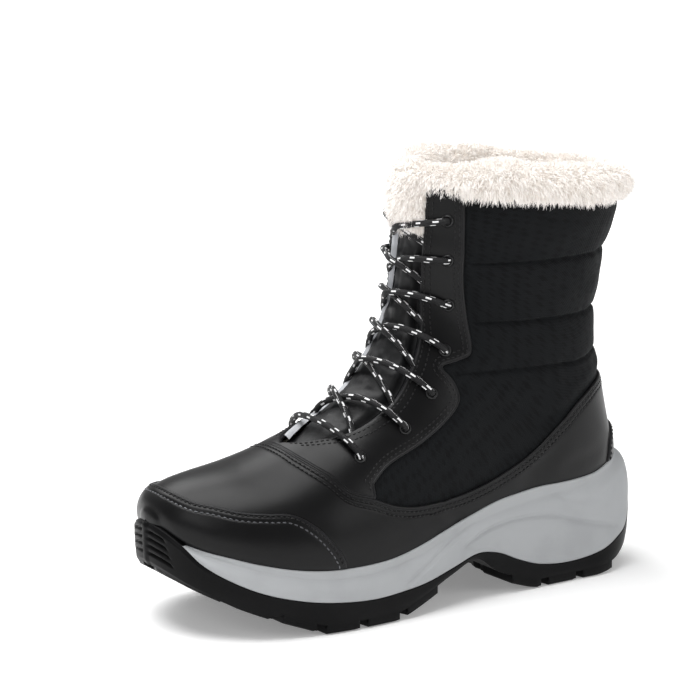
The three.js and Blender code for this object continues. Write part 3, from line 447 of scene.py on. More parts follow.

# %% [markdown]
# ## Pile
# The roll round the top is a knitted acrylic pile, brushed so that its fibres stand up and clump.
# Each strand is a thin tapering ribbon, drawn a warmer, darker cream at the root and white at
# the tip, a painted shade for the depth of the pile. Light wanders from fibre to fibre for far
# longer than a render follows it, so a faint glow of the fibres' own stands for that and keeps
# the pile soft.

# %% Brushed pile
pile = new_material("acrylic_pile_brushed")
strand_place = add_node(pile, "ShaderNodeUVMap", {"uv_map": "millimetres"})
strand_split = add_node(pile, "ShaderNodeSeparateXYZ", links={0: strand_place.outputs[0]})
# Painted shade: each strand is darker and warmer toward its root, where the pile shades itself.
pile_root_shade = add_node(pile, "ShaderNodeMix", {"data_type": "RGBA"},
                     {6: to_linear("#f5f1ec"), 7: to_linear("#fbf9f7")}, {0: strand_split.outputs["Y"]})
pile_tint = add_node(pile, "ShaderNodeMix", {"data_type": "RGBA", "blend_type": "MULTIPLY"},
                     {0: 0.25, 7: to_linear("#f8efe8")}, {6: pile_root_shade.outputs[2]})
pile_shade = add_node(pile, "ShaderNodeMix", {"data_type": "RGBA"}, {},
                      {0: strand_split.outputs["X"], 6: pile_root_shade.outputs[2], 7: pile_tint.outputs[2]})
pile_surface = add_node(pile, "ShaderNodeBsdfPrincipled", {},
                        {"Roughness": 0.85, "IOR": 1.45, "Specular IOR Level": 0.2,
                         "Emission Color": to_linear("#fff8f2"), "Emission Strength": 0.07},
                        {"Base Color": pile_shade.outputs[2]})
add_node(pile, "ShaderNodeOutputMaterial", links={"Surface": pile_surface.outputs[0]})
print("pile colours from root to tip")

# %% [markdown]
# ## Outlines of the leather, seen from the side
# A pattern cutter draws each panel on the side of the last. Here the seam between the lower
# leather and the shaft, the rear edge of the lace facing, the toe cap's edge and the heel stay are
# lines of a few points in the side view, smoothed by a curve through them.

# %% Side view outlines
def smooth_line(points):
    points = np.asarray(points, float)
    places = walked_length(points)
    between = [np.linspace(start, end, 6, endpoint=False) for start, end in zip(places, places[1:])]
    fine = np.concatenate(between + [places[-1:]])
    return np.stack([read_rows(places, points[:, column], fine) for column in (0, 1)], -1)


def side_points(along, up):
    return np.stack([along_x(along), np.asarray(up) * leg_height], -1)


seam_points = side_points(
    [0.757, 0.749, 0.714, 0.69, 0.645, 0.605, 0.553, 0.471, 0.417, 0.365, 0.291, 0.215, 0.175, 0.118, -0.1],
    [0.447, 0.426, 0.383, 0.348, 0.326, 0.303, 0.291, 0.297, 0.311, 0.332, 0.376, 0.455, 0.502, 0.541, 0.585])
facing_points = side_points(
    [0.643, 0.605, 0.533, 0.477, 0.449, 0.455, 0.472, 0.44, 0.414, 0.419, 0.427, 0.428, 0.424],
    [0.366, 0.406, 0.453, 0.506, 0.55, 0.597, 0.636, 0.65, 0.668, 0.76, 0.86, 0.93, 1.2])
cap_points = side_points(
    [0.978, 0.97, 0.968, 0.947, 0.917, 0.881, 0.841, 0.805, 0.773, 0.743, 0.715, 0.69],
    [0.6, 0.38, 0.366, 0.343, 0.334, 0.322, 0.317, 0.313, 0.289, 0.247, 0.18, -0.1])
stay_points = side_points([-0.1, 0.085, 0.085, 0.07, 0.045, -0.1], [0.2, 0.2, 0.35, 0.39, 0.408, 0.412])
# The outlines are closed outside the boot, where nothing is cut.
ahead, behind = float(along_x(1.2)), float(along_x(-0.1))
ridge_x = float(along_x(0.775))
floor_below, mid_height, top_above = -20, 114, 228
vamp_outline = np.vstack([[[ahead, floor_below], [ahead, mid_height], [ridge_x, mid_height]],
                          smooth_line(seam_points), [[behind, floor_below]]])
facing_outline = np.vstack([[[ridge_x, mid_height]], smooth_line(seam_points[:5] + [-0.3, 0.8]),
                            smooth_line(facing_points), [[float(along_x(0.8)), top_above]]])
cap_outline = np.vstack([smooth_line(cap_points), [[ahead, floor_below], [ahead, mid_height]]])
stay_outline = smooth_line(stay_points)
print("points on the vamp's outline:", len(vamp_outline))

# %% [markdown]
# ## Distance to a panel's edge
# Knowing for each point how far inside a panel it lies gives the cut edge, the rolled thickness
# and the places of the stitches from one number. The distance is measured in the side view and
# then stretched by how steeply the surface turns away, so a seam keeps its width over the toe.

# %% Signed distance on the surface
least_slant = 0.06


def outline_distance(points, normals, outline):
    flat = points[:, [0, 2]]
    best = np.full(len(flat), 1e9)
    slant = np.ones(len(flat))
    inside = np.zeros(len(flat), bool)
    for start, end in zip(outline, np.roll(outline, -1, axis=0)):
        line = end - start
        share = np.clip(((flat - start) @ line) / max(line @ line, 1e-9), 0, 1)
        away = flat - (start + share[:, None] * line)
        distance = np.hypot(away[:, 0], away[:, 1])
        nearer = distance < best
        steep = (away[:, 0] * normals[:, 0] + away[:, 1] * normals[:, 2]) / np.maximum(distance, 1e-6)
        slant = np.where(nearer, np.sqrt(np.maximum(1 - steep ** 2, least_slant)), slant)
        best = np.where(nearer, distance, best)
        crosses = (start[1] > flat[:, 1]) != (end[1] > flat[:, 1])
        rise = line[1] if abs(line[1]) > 1e-9 else 1e-9
        inside ^= crosses & (flat[:, 0] < start[0] + (flat[:, 1] - start[1]) * line[0] / rise)
    return np.where(inside, best, -best) / slant


throat_foot, closing_slope = 6.25, 40
throat_at = [throat_foot, 6.45, 6.8, 7.5, 8.8, 9.7, 11.4, 12.6, 14, 17, 21]
throat_share = [0.07, 0.3, 0.5, 0.74, 0.84, 0.82, 0.68, 0.57, 0.53, 0.52, 0.52]


def throat_half(along):
    closed = np.minimum(np.asarray(along, float) - throat_foot, 0) * closing_slope
    return throat_width * read_rows(throat_at, throat_share, along) + closed


collar_front = (float(along_x(0.5)), leg_height * 1.09)
collar_back = (float(along_x(0.06)), leg_height * 1.03)
collar_slope = (collar_front[1] - collar_back[1]) / (collar_front[0] - collar_back[0])


def collar_edge(x):
    return collar_back[1] + (x - collar_back[0]) * collar_slope


print("throat half width at the lowest eyelet:", round(float(throat_half(7.45)), 1), "mm")

# %% [markdown]
# ## One fine grid for all panels
# The surface is laid out as a grid of squares about 1.3 mm wide. A panel is then cut from it, the
# way leather is cut from a hide: triangles that its edge crosses are split exactly on the line.

# %% Grid of the upper and the cutting tool
coarse = np.linspace(-0.95, last_section, 660)
turns_round = np.linspace(-np.pi, np.pi, 241)
walked = bare_surface(coarse[:, None], turns_round[None, ::12])
gap = np.linalg.norm(np.diff(walked, axis=0), axis=2).max(axis=1)
travel = np.r_[0, np.cumsum(gap)]
grid_step = 1.35
grid_along = np.interp(np.linspace(0, travel[-1], int(travel[-1] / grid_step)), travel, coarse)
along_grid, turn_grid = np.meshgrid(grid_along, turns_round, indexing="ij")
hide = dict(along=along_grid.ravel(), turn=turn_grid.ravel(),
            faces=halved(grid_faces(len(grid_along), len(turns_round))))
print("grid:", len(grid_along), "by", len(turns_round))


def split_at(panel, field, value):
    height = panel[field] - value
    height = np.where(np.abs(height) < 1e-4, 0, height)
    faces = panel["faces"]
    edges = np.sort(np.vstack([faces[:, [0, 1]], faces[:, [1, 2]], faces[:, [2, 0]]]), axis=1)
    crossing = height[edges[:, 0]] * height[edges[:, 1]] < 0
    unique, where = np.unique(edges[crossing], axis=0, return_inverse=True)
    where = where.ravel()
    share = height[unique[:, 0]] / (height[unique[:, 0]] - height[unique[:, 1]])
    start = len(height)
    fresh = {}
    for name, column in panel.items():
        if name != "faces":
            middle = column[unique[:, 0]] * (1 - share) + column[unique[:, 1]] * share
            fresh[name] = np.concatenate([column, middle])
    new_point = np.full(len(edges), -1)
    new_point[crossing] = start + where
    cut = new_point.reshape(3, -1).T
    count = (cut >= 0).sum(axis=1)
    parts = [faces[count == 0]]
    for first in range(3):
        a, b, c = faces[:, first], faces[:, (first + 1) % 3], faces[:, (first + 2) % 3]
        ab, bc, ca = cut[:, first], cut[:, (first + 1) % 3], cut[:, (first + 2) % 3]
        two = (count == 2) & (bc < 0)
        one = (count == 1) & (ab >= 0)
        for chosen, corners in ((two, (a, ab, ca)), (two, (ab, b, c)), (two, (ab, c, ca)),
                                (one, (a, ab, c)), (one, (ab, b, c))):
            parts.append(np.stack(corners, -1)[chosen])
    fresh["faces"] = np.vstack(parts)
    return fresh


def keep_above(panel, field, value):
    split = split_at(panel, field, value)
    middle = split[field][split["faces"]].mean(axis=1)
    faces = split["faces"][middle > value]
    used, faces = np.unique(faces, return_inverse=True)
    kept = {name: column[used] for name, column in split.items() if name != "faces"}
    kept["faces"] = faces.reshape(-1, 3)
    return kept


def cut_out(panel, **limits):
    for field, value in limits.items():
        panel = keep_above(panel, field, value)
    return panel


# %% [markdown]
# ## Where the panels end
# Each field says how far inside its panel a point lies, in millimetres: the outline's distance,
# the throat's edge, the collar line and, at the bottom, a little below the foam's rim, where the
# leather is tucked in and hidden.

# %% Fields on the grid
bare = bare_surface(hide["along"], hide["turn"])
bare_normal = surface_normal(hide["along"], hide["turn"])
tucked_in = 4
rim_height = level(profile_rim, sole_share(bare[:, 0]))
hide["above_rim"] = bare[:, 2] - (rim_height - tucked_in)
hide["below_collar"] = collar_edge(bare[:, 0]) - bare[:, 2]
from_throat = width_at_turn(hide["along"], hide["turn"]) - throat_half(hide["along"])
hide["from_throat"] = np.clip(from_throat, -30, 60)
for field, outline in (("vamp", vamp_outline), ("facing", facing_outline),
                       ("cap", cap_outline), ("stay", stay_outline)):
    hide[field] = outline_distance(bare, bare_normal, outline)
hide["facing"] = np.minimum(hide["facing"], hide["from_throat"])
print("fields:", [name for name in hide if name not in ("faces", "along", "turn")])

# %% [markdown]
# ## Eyelets first
# The lace holes are punched before the leather is laid, so their places are needed now: seven a
# side, each a distance from the ridge.

# %% Places of the eyelets
eyelet_at = np.array([7.45, 8.85, 10.05, 11.65, 14.05, 16.6, 18.75])
eyelet_out = np.array([1.17, 1.16, 1.12, 0.98, 0.91, 0.94, 0.92]) * throat_width
eyelet_hole, eyelet_width = 3.9, 6.6
facing_top, hole_margin, far_away = 1.6, 0.1, 99.0
hole_distance = np.full(len(bare), far_away)
for sign in (1, -1):
    for centre in bare_surface(eyelet_at, turn_at_width(eyelet_at, sign * eyelet_out)):
        hole_distance = np.minimum(hole_distance, np.linalg.norm(bare - centre, axis=1))
hide["hole"] = hole_distance - eyelet_hole / 2 - hole_margin
print("nearest eyelets to the toe:", eyelet_at[0])

# %% [markdown]
# ## Laying a panel
# A leather panel has a thickness with a rolled edge: near its edge the offset rises as a quarter
# circle, and each row of stitches pulls it in by a third of a millimetre. The creases that walking
# leaves are added as soft troughs in the shoe's own sizes. Fine rounding needs close points, so the
# mesh is split along a few lines just inside the edge and beside each row.

# %% Laying function
def soft_noise(points, size, seed):
    shifted = np.asarray(points) / size + seed * 7.3
    return np.array([noise.noise(Vector(point)) for point in shifted])


edge_roll, row_depth, row_width, beside_row = 1.1, 0.3, 0.45, 0.55


def lay_panel(panel, edge_field, base, thickness, rows=()):
    insets = [0.1, 0.4, edge_roll]
    for row in rows:
        insets += [row - beside_row, row, row + beside_row]
    for inset in insets:
        panel = split_at(panel, edge_field, inset)
    depth = np.clip(panel[edge_field] / edge_roll, 0, 1)
    rolled = np.sqrt(np.maximum(1 - (1 - depth) ** 2, 0))
    panel["offset"] = base + thickness * rolled
    for row in rows:
        panel["offset"] -= row_depth * np.exp(-((panel[edge_field] - row) / row_width) ** 2)
    return panel


def trough(points, start, end, width, depth):
    start, end = np.asarray(start, float), np.asarray(end, float)
    flat = points[:, [0, 2]]
    line = end - start
    share = ((flat - start) @ line) / (line @ line)
    nearest = start + np.clip(share, 0, 1)[:, None] * line
    away = np.linalg.norm(flat - nearest, axis=1)
    fade = ease(-0.35, 0.3, share) * (1 - ease(0.7, 1.35, share))
    return -depth * np.exp(-(away / width) ** 2) * fade


mean_radius = 42.0


def place_panel(name, panel, material, stands_for=(), edge_field="edge"):
    points = upper_surface(panel["along"], panel["turn"], panel["offset"])
    millimetres = np.stack([panel["turn"] * mean_radius, np.interp(panel["along"], coarse, travel)], -1)
    return make_piece(name, points, panel["faces"], material, stands_for, millimetres,
                      {"edge_mm": panel[edge_field]})


# %% Vamp, toe cap and heel stay
skin_gap, overlay_gap, hide_thickness = 0.1, 1.5, 1.5
vamp_insets, cap_insets, stay_inset = (2.0, 4.4), (1.8, 4.2), 1.6
vamp = cut_out(hide, above_rim=0, vamp=0, from_throat=0)
vamp = lay_panel(vamp, "vamp", skin_gap, hide_thickness, rows=vamp_insets)
vamp_spots = bare_surface(vamp["along"], vamp["turn"])
flex = (trough(vamp_spots, (96, 62), (70, 44), 4.5, 0.9) + trough(vamp_spots, (112, 66), (84, 40), 5, 0.7)
        + trough(vamp_spots, (30, 58), (6, 74), 8, 0.8) + trough(vamp_spots, (-22, 66), (2, 62), 5, 0.5))
vamp["offset"] += (flex + 0.35 * soft_noise(vamp_spots, 26, 1)) * ease(1, 8, vamp["vamp"])
place_panel("vamp_leather", vamp, leather, ["vamp"], "vamp")


def thinned_at_foam(panel, thin, thick):
    return np.minimum(panel["offset"], thin + thick * ease(3.0, 8.0, panel["above_rim"]))


cap = cut_out(hide, above_rim=0, cap=0)
cap = lay_panel(cap, "cap", overlay_gap, hide_thickness, rows=cap_insets)
cap_spots = bare_surface(cap["along"], cap["turn"])
cap["offset"] += 0.25 * soft_noise(cap_spots, 22, 2) * ease(1, 8, cap["cap"])
cap["offset"] = thinned_at_foam(cap, 1.75, 1.25)
place_panel("toe_cap_leather", cap, leather, ["toe_cap"], "cap")

stay = lay_panel(cut_out(hide, above_rim=0, stay=0), "stay", overlay_gap, 1.4)
stay["offset"] = thinned_at_foam(stay, 1.75, 1.15)
place_panel("heel_stay_leather", stay, leather, ["heel_stay"], "stay")

# %% [markdown]
# ## Lace facings
# The facings are two leather bands beside the throat, with the eyelets through them. The piece is
# cut on both sides of the ridge, and its holes are punched through.

# %% Facings
facing_half, facing_thickness, over_collar, top_rounding = 10.0, 1.55, 4.5, 0.035
facing_middle = throat_half(hide["along"]) + facing_half
from_facing_middle = width_at_turn(hide["along"], hide["turn"]) - facing_middle
rounded_top = hide["below_collar"] + over_collar - top_rounding * from_facing_middle ** 2
hide["facing"] = np.minimum(hide["facing"], np.clip(rounded_top, -20, 60))
both = cut_out(hide, facing=0, hole=0)
for side_name, sign in (("lateral", 1), ("medial", -1)):
    both["side"] = both["turn"] * sign
    facing = lay_panel(cut_out(both, side=0), "facing", skin_gap, facing_thickness)
    facing_spots = bare_surface(facing["along"], facing["turn"])
    facing["offset"] += 0.3 * soft_noise(facing_spots, 18, 3 + sign) * ease(1, 6, facing["facing"])
    place_panel(f"lace_facing_{side_name}_leather", facing, leather,
                [f"lace_facing_{side_name}"], "facing")

# %% [markdown]
# ## The quilted shaft
# The shaft's cloth is sewn through its wadding along three level lines, so it puffs out between
# them and small puckers run up and down from each seam. Cloth simulation is the usual way to such
# pillows. Here the bands are shallow and closely held, so they are raised by a formula instead.

# %% Shaft
quilt_front = np.array([0.612, 0.743, 0.903]) * leg_height
quilt_back = np.array([0.655, 0.757, 0.912]) * leg_height
quilt_foot, quilt_over_collar, full_puff_height = 60.0, 4, 26
under_leather = 3
shaft = cut_out(hide, below_collar=-1)
shaft["vamp_out"] = -shaft["vamp"] + under_leather
shaft = cut_out(shaft, vamp_out=0, from_throat=-0.5, hole=0)
shaft["behind"] = -shaft["facing"]
spots = bare_surface(shaft["along"], shaft["turn"])
back_share = ease(along_x(0.2), along_x(0.02), spots[:, 0])
lines = quilt_front[:, None] * (1 - back_share) + quilt_back[:, None] * back_share
top_line = collar_edge(spots[:, 0]) + quilt_over_collar
bottom_line = np.full(len(spots), quilt_foot)
levels = np.vstack([bottom_line[None], lines, top_line[None]])
puff = np.zeros(len(spots))
for low, high in zip(levels, levels[1:]):
    share = np.clip((spots[:, 2] - low) / (high - low), 0, 1)
    fullness = np.clip((high - low) / full_puff_height, 0.5, 1)
    puff = np.maximum(puff, (4 * share * (1 - share)) ** 0.5 * fullness)
from_quilting = np.abs(spots[:, 2] - lines).min(axis=0)
seam_near = np.exp(-(from_quilting / 1.0) ** 2)
held = ease(0.5, 9, shaft["behind"]) * ease(0.5, 10, -shaft["vamp"])
pucker = soft_noise(spots * [1, 1, 0.35], 7, 5) * (1 - puff) * 0.9
ripples = 0.8 * soft_noise(spots * [0.8, 0.8, 1.6], 17, 6) + 0.35 * soft_noise(spots, 7, 7)
ankle = (trough(spots, (42, 98), (2, 84), 6, 1.6) + trough(spots, (30, 82), (-12, 92), 5, 1.1)
         + trough(spots, (46, 74), (18, 58), 6, 1.2))
upward = ease(64, 116, spots[:, 2])
raised = held * (puff * (0.6 + 1.7 * upward) + pucker + ripples * 0.8 + ankle)
shaft["offset"] = raised - 1.0 * seam_near * ease(2, 6, shaft["behind"])
shaft["edge"] = from_quilting
place_panel("shaft_textile_quilted", shaft, textile, ["upper"])
print("puff up to", round(float(shaft["offset"].max()), 2), "mm")

# %% [markdown]
# ## Lining
# Inside, the shaft is lined with the same pile, clipped short. It is a second skin set inward by
# the wall, seen only through the collar and the throat.

# %% Lining
# It lies in the dark of the shaft, so every third line of the grid is enough for it.
lining_gap, lining_pile = 0.4, 0.8
thin_rows = np.r_[0:len(grid_along) - 1:3, len(grid_along) - 1]
thin = {field: hide[field].reshape(along_grid.shape)[thin_rows, ::3].ravel()
        for field in ("along", "turn", "below_collar", "from_throat")}
thin["faces"] = halved(grid_faces(len(thin_rows), len(turns_round[::3])))
lining = cut_out(thin, below_collar=0, from_throat=-0.5)
lining_spots = bare_surface(lining["along"], lining["turn"])
lining["offset"] = -upper_wall - lining_gap + lining_pile * soft_noise(lining_spots, 5, 8)
lining["faces"] = lining["faces"][:, ::-1]
lining["edge"] = lining["below_collar"]
place_panel("pile_lining", lining, felt)

# %% [markdown]
# ## Stitches
# A lockstitch leaves a row of short thread bars lying on the leather. The rows follow lines of
# equal distance from a panel's edge, so they are found on the panel itself, joined into paths,
# and a small capsule is set every 2.7 mm.

# %% Rows of stitches
def rows_at(panel, field, value):
    height = panel[field] - value
    height = np.where(height == 0, 1e-6, height)
    links = {}
    spots = {}
    signs = height[panel["faces"]] > 0
    crossed = signs.any(axis=1) & ~signs.all(axis=1)
    for face, flags in zip(panel["faces"][crossed], signs[crossed]):
        ends = []
        for first in range(3):
            second = (first + 1) % 3
            if flags[first] != flags[second]:
                key = tuple(sorted((int(face[first]), int(face[second]))))
                share = height[key[0]] / (height[key[0]] - height[key[1]])
                spots[key] = [panel[name][key[0]] * (1 - share) + panel[name][key[1]] * share
                              for name in ("along", "turn")]
                ends.append(key)
        links.setdefault(ends[0], []).append(ends[1])
        links.setdefault(ends[1], []).append(ends[0])
    paths = []
    left = set(links)
    for start in sorted(links, key=lambda key: len(links[key])):
        if start not in left:
            continue
        path = [start]
        left.discard(start)
        while True:
            onward = [key for key in links[path[-1]] if key in left]
            if not onward:
                break
            path.append(onward[0])
            left.discard(onward[0])
        if len(path) > 6:
            paths.append(np.array([spots[key] for key in path]))
    return paths


def even_spots(path, offset, pitch):
    points = upper_surface(path[:, 0], path[:, 1], offset)
    travelled = walked_length(points)
    places = np.arange(pitch / 2, travelled[-1], pitch)
    along = np.interp(places, travelled, path[:, 0])
    turn = np.interp(places, travelled, path[:, 1])
    centre = upper_surface(along, turn, offset)
    forward = np.stack([np.interp(places + 0.4, travelled, points[:, axis])
                        - np.interp(places - 0.4, travelled, points[:, axis]) for axis in range(3)], -1)
    return centre, unit(forward), surface_normal(along, turn)


# A capsule's rings: how far ahead of its middle, how wide, and how high, as shares.
capsule_rings = [(-1.0, 0.05, -0.5), (-0.8, 0.55, -0.12), (-0.35, 0.95, 0.2), (0.35, 0.95, 0.2),
                 (0.8, 0.55, -0.12), (1.0, 0.05, -0.5)]
stitch_length, stitch_radius, stitch_pitch, pale_pitch = 2.0, 0.36, 2.7, 2.9
seen_above_foam = 1.5


def clear_of_foam(row):
    above = row[0][:, 2] - level(profile_rim, sole_share(row[0][:, 0])) > seen_above_foam
    return [part[above] for part in row]


def sew(name, rows, material):
    rows = [clear_of_foam(row) for row in rows if len(row[0])]
    centre, forward, normal = [np.vstack(part) for part in zip(*rows)]
    sideways = np.cross(forward, normal)
    turn = full_turn(6)
    rings = []
    for ahead_share, width, lift in capsule_rings:
        middle = centre + forward * (ahead_share * stitch_length / 2) + normal * (lift * stitch_radius)
        ring = (middle[:, None] + (np.cos(turn)[None, :, None] * sideways[:, None]
                + np.sin(turn)[None, :, None] * normal[:, None]) * stitch_radius * width)
        rings.append(ring)
    points = np.stack(rings, 1)
    one = grid_faces(len(capsule_rings), len(turn), closed=True)
    faces = repeated_faces(one, len(capsule_rings) * len(turn), len(points))
    make_piece(name, points.reshape(-1, 3), faces[:, ::-1], material)


# %% Sewing the seams
# The cap's outer row is sewn in the lighter thread, a painted highlight.
sew("toe_cap_stitches", [even_spots(path, 2.85, pale_pitch) for path in rows_at(cap, "cap", cap_insets[1])],
    cap_thread_painted_highlight)
seam_rows = []
for panel, field, inset, top in ((vamp, "vamp", vamp_insets[0], 1.53), (vamp, "vamp", vamp_insets[1], 1.53),
                                 (cap, "cap", cap_insets[0], 2.88), (stay, "stay", stay_inset, 2.93)):
    seam_rows += [even_spots(path, top, stitch_pitch) for path in rows_at(panel, field, inset)]
facing_all = cut_out(both, facing=0)
for inset in (2.0, 4.2):
    for path in rows_at(facing_all, "facing", inset):
        row = even_spots(path, facing_top + 0.06, stitch_pitch)
        from_seam = -outline_distance(row[0], row[2], vamp_outline)
        beside_seam = (from_seam > inset - 1.0) & (from_seam < inset + 3.4)
        seam_rows.append([part[~beside_seam] for part in row])
sew("seam_stitches", seam_rows, thread)

# %% [markdown]
# ## Piping
# A thin rolled cord of leather is sewn in where the shaft meets the lower leather and behind the
# facings. It is a tube that follows the panel's edge.

# %% Tubes that follow a path
def tube(points, radius, sides, normals=None):
    points = np.asarray(points, float)
    forward = unit(np.gradient(points, axis=0))
    if normals is None:
        across = np.zeros_like(points)
        current = np.array([0.3, 0.2, 1.0])
        for index, direction in enumerate(forward):
            current = current - direction * (current @ direction)
            current = current / np.linalg.norm(current)
            across[index] = current
    else:
        across = unit(normals - forward * (normals * forward).sum(axis=1, keepdims=True))
    other = np.cross(forward, across)
    turn = full_turn(sides)
    rings = points[:, None] + radius * (np.cos(turn)[None, :, None] * across[:, None]
                                        + np.sin(turn)[None, :, None] * other[:, None])
    uv = np.stack([np.repeat(walked_length(points), sides), np.tile(turn / (2 * np.pi), len(points))], -1)
    return rings.reshape(-1, 3), grid_faces(len(points), sides, closed=True), uv


def join_parts(parts):
    points, faces, uvs, start = [], [], [], 0
    for part in parts:
        points.append(part[0])
        faces.append(part[1] + start)
        uvs.append(part[2] if len(part) > 2 else np.zeros((len(part[0]), 2)))
        start += len(part[0])
    return np.vstack(points), np.vstack(faces), np.vstack(uvs)


# %% Piping along the seams
piping_lift, piping_radius, piping_pitch, widest_gap = 0.9, 0.75, 1.2, 6
piping_parts = []
for panel, field in ((vamp, "vamp"), (facing_all, "facing")):
    for path in rows_at(panel, field, 0.12):
        path = path[throat_half(path[:, 0]) + 2 < width_at_turn(path[:, 0], path[:, 1])]
        if len(path) < 12:
            continue
        centre, _, normal = even_spots(path, piping_lift, piping_pitch)
        step = np.linalg.norm(np.diff(centre, axis=0), axis=1)
        for run in np.split(np.arange(len(centre)), np.where(step > widest_gap)[0] + 1):
            if len(run) > 8:
                piping_parts.append(tube(centre[run], piping_radius, 8, normal[run]))
piping = join_parts(piping_parts)
make_piece("seam_piping", piping[0], piping[1], piping_leather, uv=piping[2])

# %% [markdown]
# ## The sole's wall
# The foam and the tread share one outline. At each of 460 places round it, the wall is a column of
# points whose inset comes from the same heights as the solids. Where the foam climbs as a rim that
# cups the upper, a ray cast inward finds the upper and the rim is laid 2.7 mm outside it.

# %% Plan outline and wall columns
heel_round, toe_round = 0.13, 0.17
rim_clearance, ray_start, ray_length = 2.7, 40, 75


def plan_edge(share, side, inset):
    share = np.clip(share, 0, 1)
    centre, half = sole_middle(share), sole_half(share)
    heel_part = np.clip((heel_round - share) / heel_round, 0, 1)
    toe_part = np.clip((share - 1 + toe_round) / toe_round, 0, 1)
    reach = half * (1 - heel_part ** 2.2) ** (1 / 2.2) * (1 - toe_part ** 2.2) ** (1 / 2.2)
    middle = along_x(0.5)
    x = middle + (along_x(share) - middle) * (1 - 2 * inset / sole_length)
    return np.stack([x, centre + side * reach * (1 - inset / half)], -1)


places_round = 460
around = np.linspace(0, 2 * np.pi, places_round, endpoint=False)
around_share = 0.5 - 0.5 * np.cos(around)
around_side = np.where(around < np.pi, 1, -1)


def plan_ring(inset):
    return plan_edge(around_share, around_side, inset)


outer_ring = plan_ring(0.0)
ring_forward = unit(np.roll(outer_ring, -1, axis=0) - np.roll(outer_ring, 1, axis=0))
ring_out = np.stack([-ring_forward[:, 1], ring_forward[:, 0]], -1)
ring_out *= np.sign((ring_out * (outer_ring - outer_ring.mean(axis=0))).sum(axis=1))[:, None]
shell_turns = np.linspace(0, 2 * np.pi, 121)[:-1]
shell_rows = np.linspace(0, 20, 220)
shell_points = upper_surface(shell_rows[:, None], shell_turns[None], rim_clearance).reshape(-1, 3)
shell_faces = grid_faces(len(shell_rows), len(shell_turns), closed=True)
shell = BVHTree.FromPolygons(shell_points.tolist(), shell_faces.tolist())
wall_share = sole_share(outer_ring[:, 0])
wall_ground, wall_joint, wall_rim = (level(rows, wall_share)
                                     for rows in (profile_ground, profile_joint, profile_rim))


def reach_of_rim(height):
    reach = np.full(places_round, -1e9)
    for index in range(places_round):
        start = Vector((*(outer_ring[index] + ring_out[index] * ray_start), height[index]))
        hit = shell.ray_cast(start, Vector((-ring_out[index][0], -ring_out[index][1], 0)), ray_length)
        if hit[0] is not None:
            reach[index] = ray_start - hit[3]
    return reach


def reach_at(inset):
    return ((plan_ring(inset) - outer_ring) * ring_out).sum(axis=1)


def wall_points(reach, height):
    return np.column_stack([outer_ring + ring_out * reach[:, None], height])


print("outline length:", round(float(walked_length(outer_ring)[-1])), "mm")

# %% [markdown]
# ## Relief on the foam
# A moulded wedge carries shallow forms: a lens-shaped panel beside the heel with a soft upper edge,
# a slanting crease ahead of it and a short one under the rim. Each is a line in the side view that
# pushes the wall in or out by about a millimetre.

# %% Relief lines
lens_top = smooth_line([(70, 30.9), (56, 36.1), (43, 38.4), (28, 38.8), (11, 37.2), (-3, 32.7), (-17, 28.8),
                        (-32, 25)])
lens_low = smooth_line([(66, 29.5), (50, 24.5), (33, 18.6), (14, 15.2), (-4, 15.5)])
front_crease = smooth_line([(106, 18.4), (99, 22.6), (91, 26.9), (84, 31.2), (76, 34.9), (68, 38.8)])
upper_crease = smooth_line([(8, 47.5), (0, 44), (-9, 41.6), (-18, 41.2), (-27, 45)])


def line_distance(flat, line):
    best = np.full(len(flat), 1e9)
    signed = np.zeros(len(flat))
    for start, end in zip(line[:-1], line[1:]):
        span = end - start
        share = np.clip(((flat - start) @ span) / (span @ span), 0, 1)
        away = flat - (start + share[:, None] * span)
        distance = np.hypot(away[:, 0], away[:, 1])
        nearer = distance < best
        side = span[0] * away[:, 1] - span[1] * away[:, 0]
        signed = np.where(nearer, distance * np.sign(side), signed)
        best = np.where(nearer, distance, best)
    return signed


def lip(away, below, above, height, reach):
    return height * ease(below, above, away) * np.exp(-np.maximum(away, 0) / reach)


def groove(away, depth, width):
    return depth * np.exp(-(away / width) ** 2)


def foam_relief(flat):
    top = line_distance(flat, lens_top)
    near_lens = ease(-36, -26, flat[:, 0]) * (1 - ease(64, 72, flat[:, 0]))
    low = line_distance(flat, lens_low)
    crease = line_distance(flat, front_crease)
    under_rim = line_distance(flat, upper_crease)
    step = lip(top, -0.8, 1.0, 1.5, 16) * near_lens
    edge = -groove(top, 0.9, 0.8) * near_lens
    shallow = lip(low, -0.6, 0.6, 0.6, 5) - groove(low, 0.5, 0.9)
    front = lip(crease, -0.6, 0.9, 1.0, 5) - groove(crease, 0.8, 0.9)
    return -step + edge + shallow * 0.7 + front - groove(under_rim, 0.6, 1.3)


# %% The foam wedge
inset_steps, foam_insets = [-0.1, 0.1, 0.45, 0.8, 1.0], [0.2, 0.0, 0.3, 2.6, 7.0]
foam_rings = []
for step in np.linspace(0, 1, 40):
    height = wall_joint + 0.2 + (wall_rim - 0.6 - wall_joint - 0.2) * step
    body_reach = reach_at(read_rows(inset_steps, foam_insets, step))
    reach = np.maximum(body_reach, reach_of_rim(height))
    reach = reach + 0.35 * np.exp(-np.abs(reach - body_reach) / 1.5)
    relief = foam_relief(np.stack([outer_ring[:, 0], height], -1))
    relief *= ease(0, 0.06, step) * (1 - ease(0.85, 1.0, step)) * ease(2, 6, wall_rim - wall_joint)
    hidden = 1 - ease(-1.5, 1.0, wall_rim - wall_joint)
    foam_rings.append((reach + relief - 2.2 * hidden, height - 1.6 * hidden))
top_reach, top_height = foam_rings[-1]
for back_off, lift in ((0.15, 0.3), (0.45, 0.5), (0.9, 0.6), (1.5, 0.45), (1.9, -0.5), (2.1, -5.0)):
    foam_rings.append((top_reach - back_off, top_height + lift))
first_reach, first_height = foam_rings[0]
foam_rings.insert(0, (first_reach - 0.5, first_height - 0.3))
foam_rings.insert(0, (first_reach - 6.0, first_height - 0.3))
foam_points = np.concatenate([wall_points(reach, height) for reach, height in foam_rings])
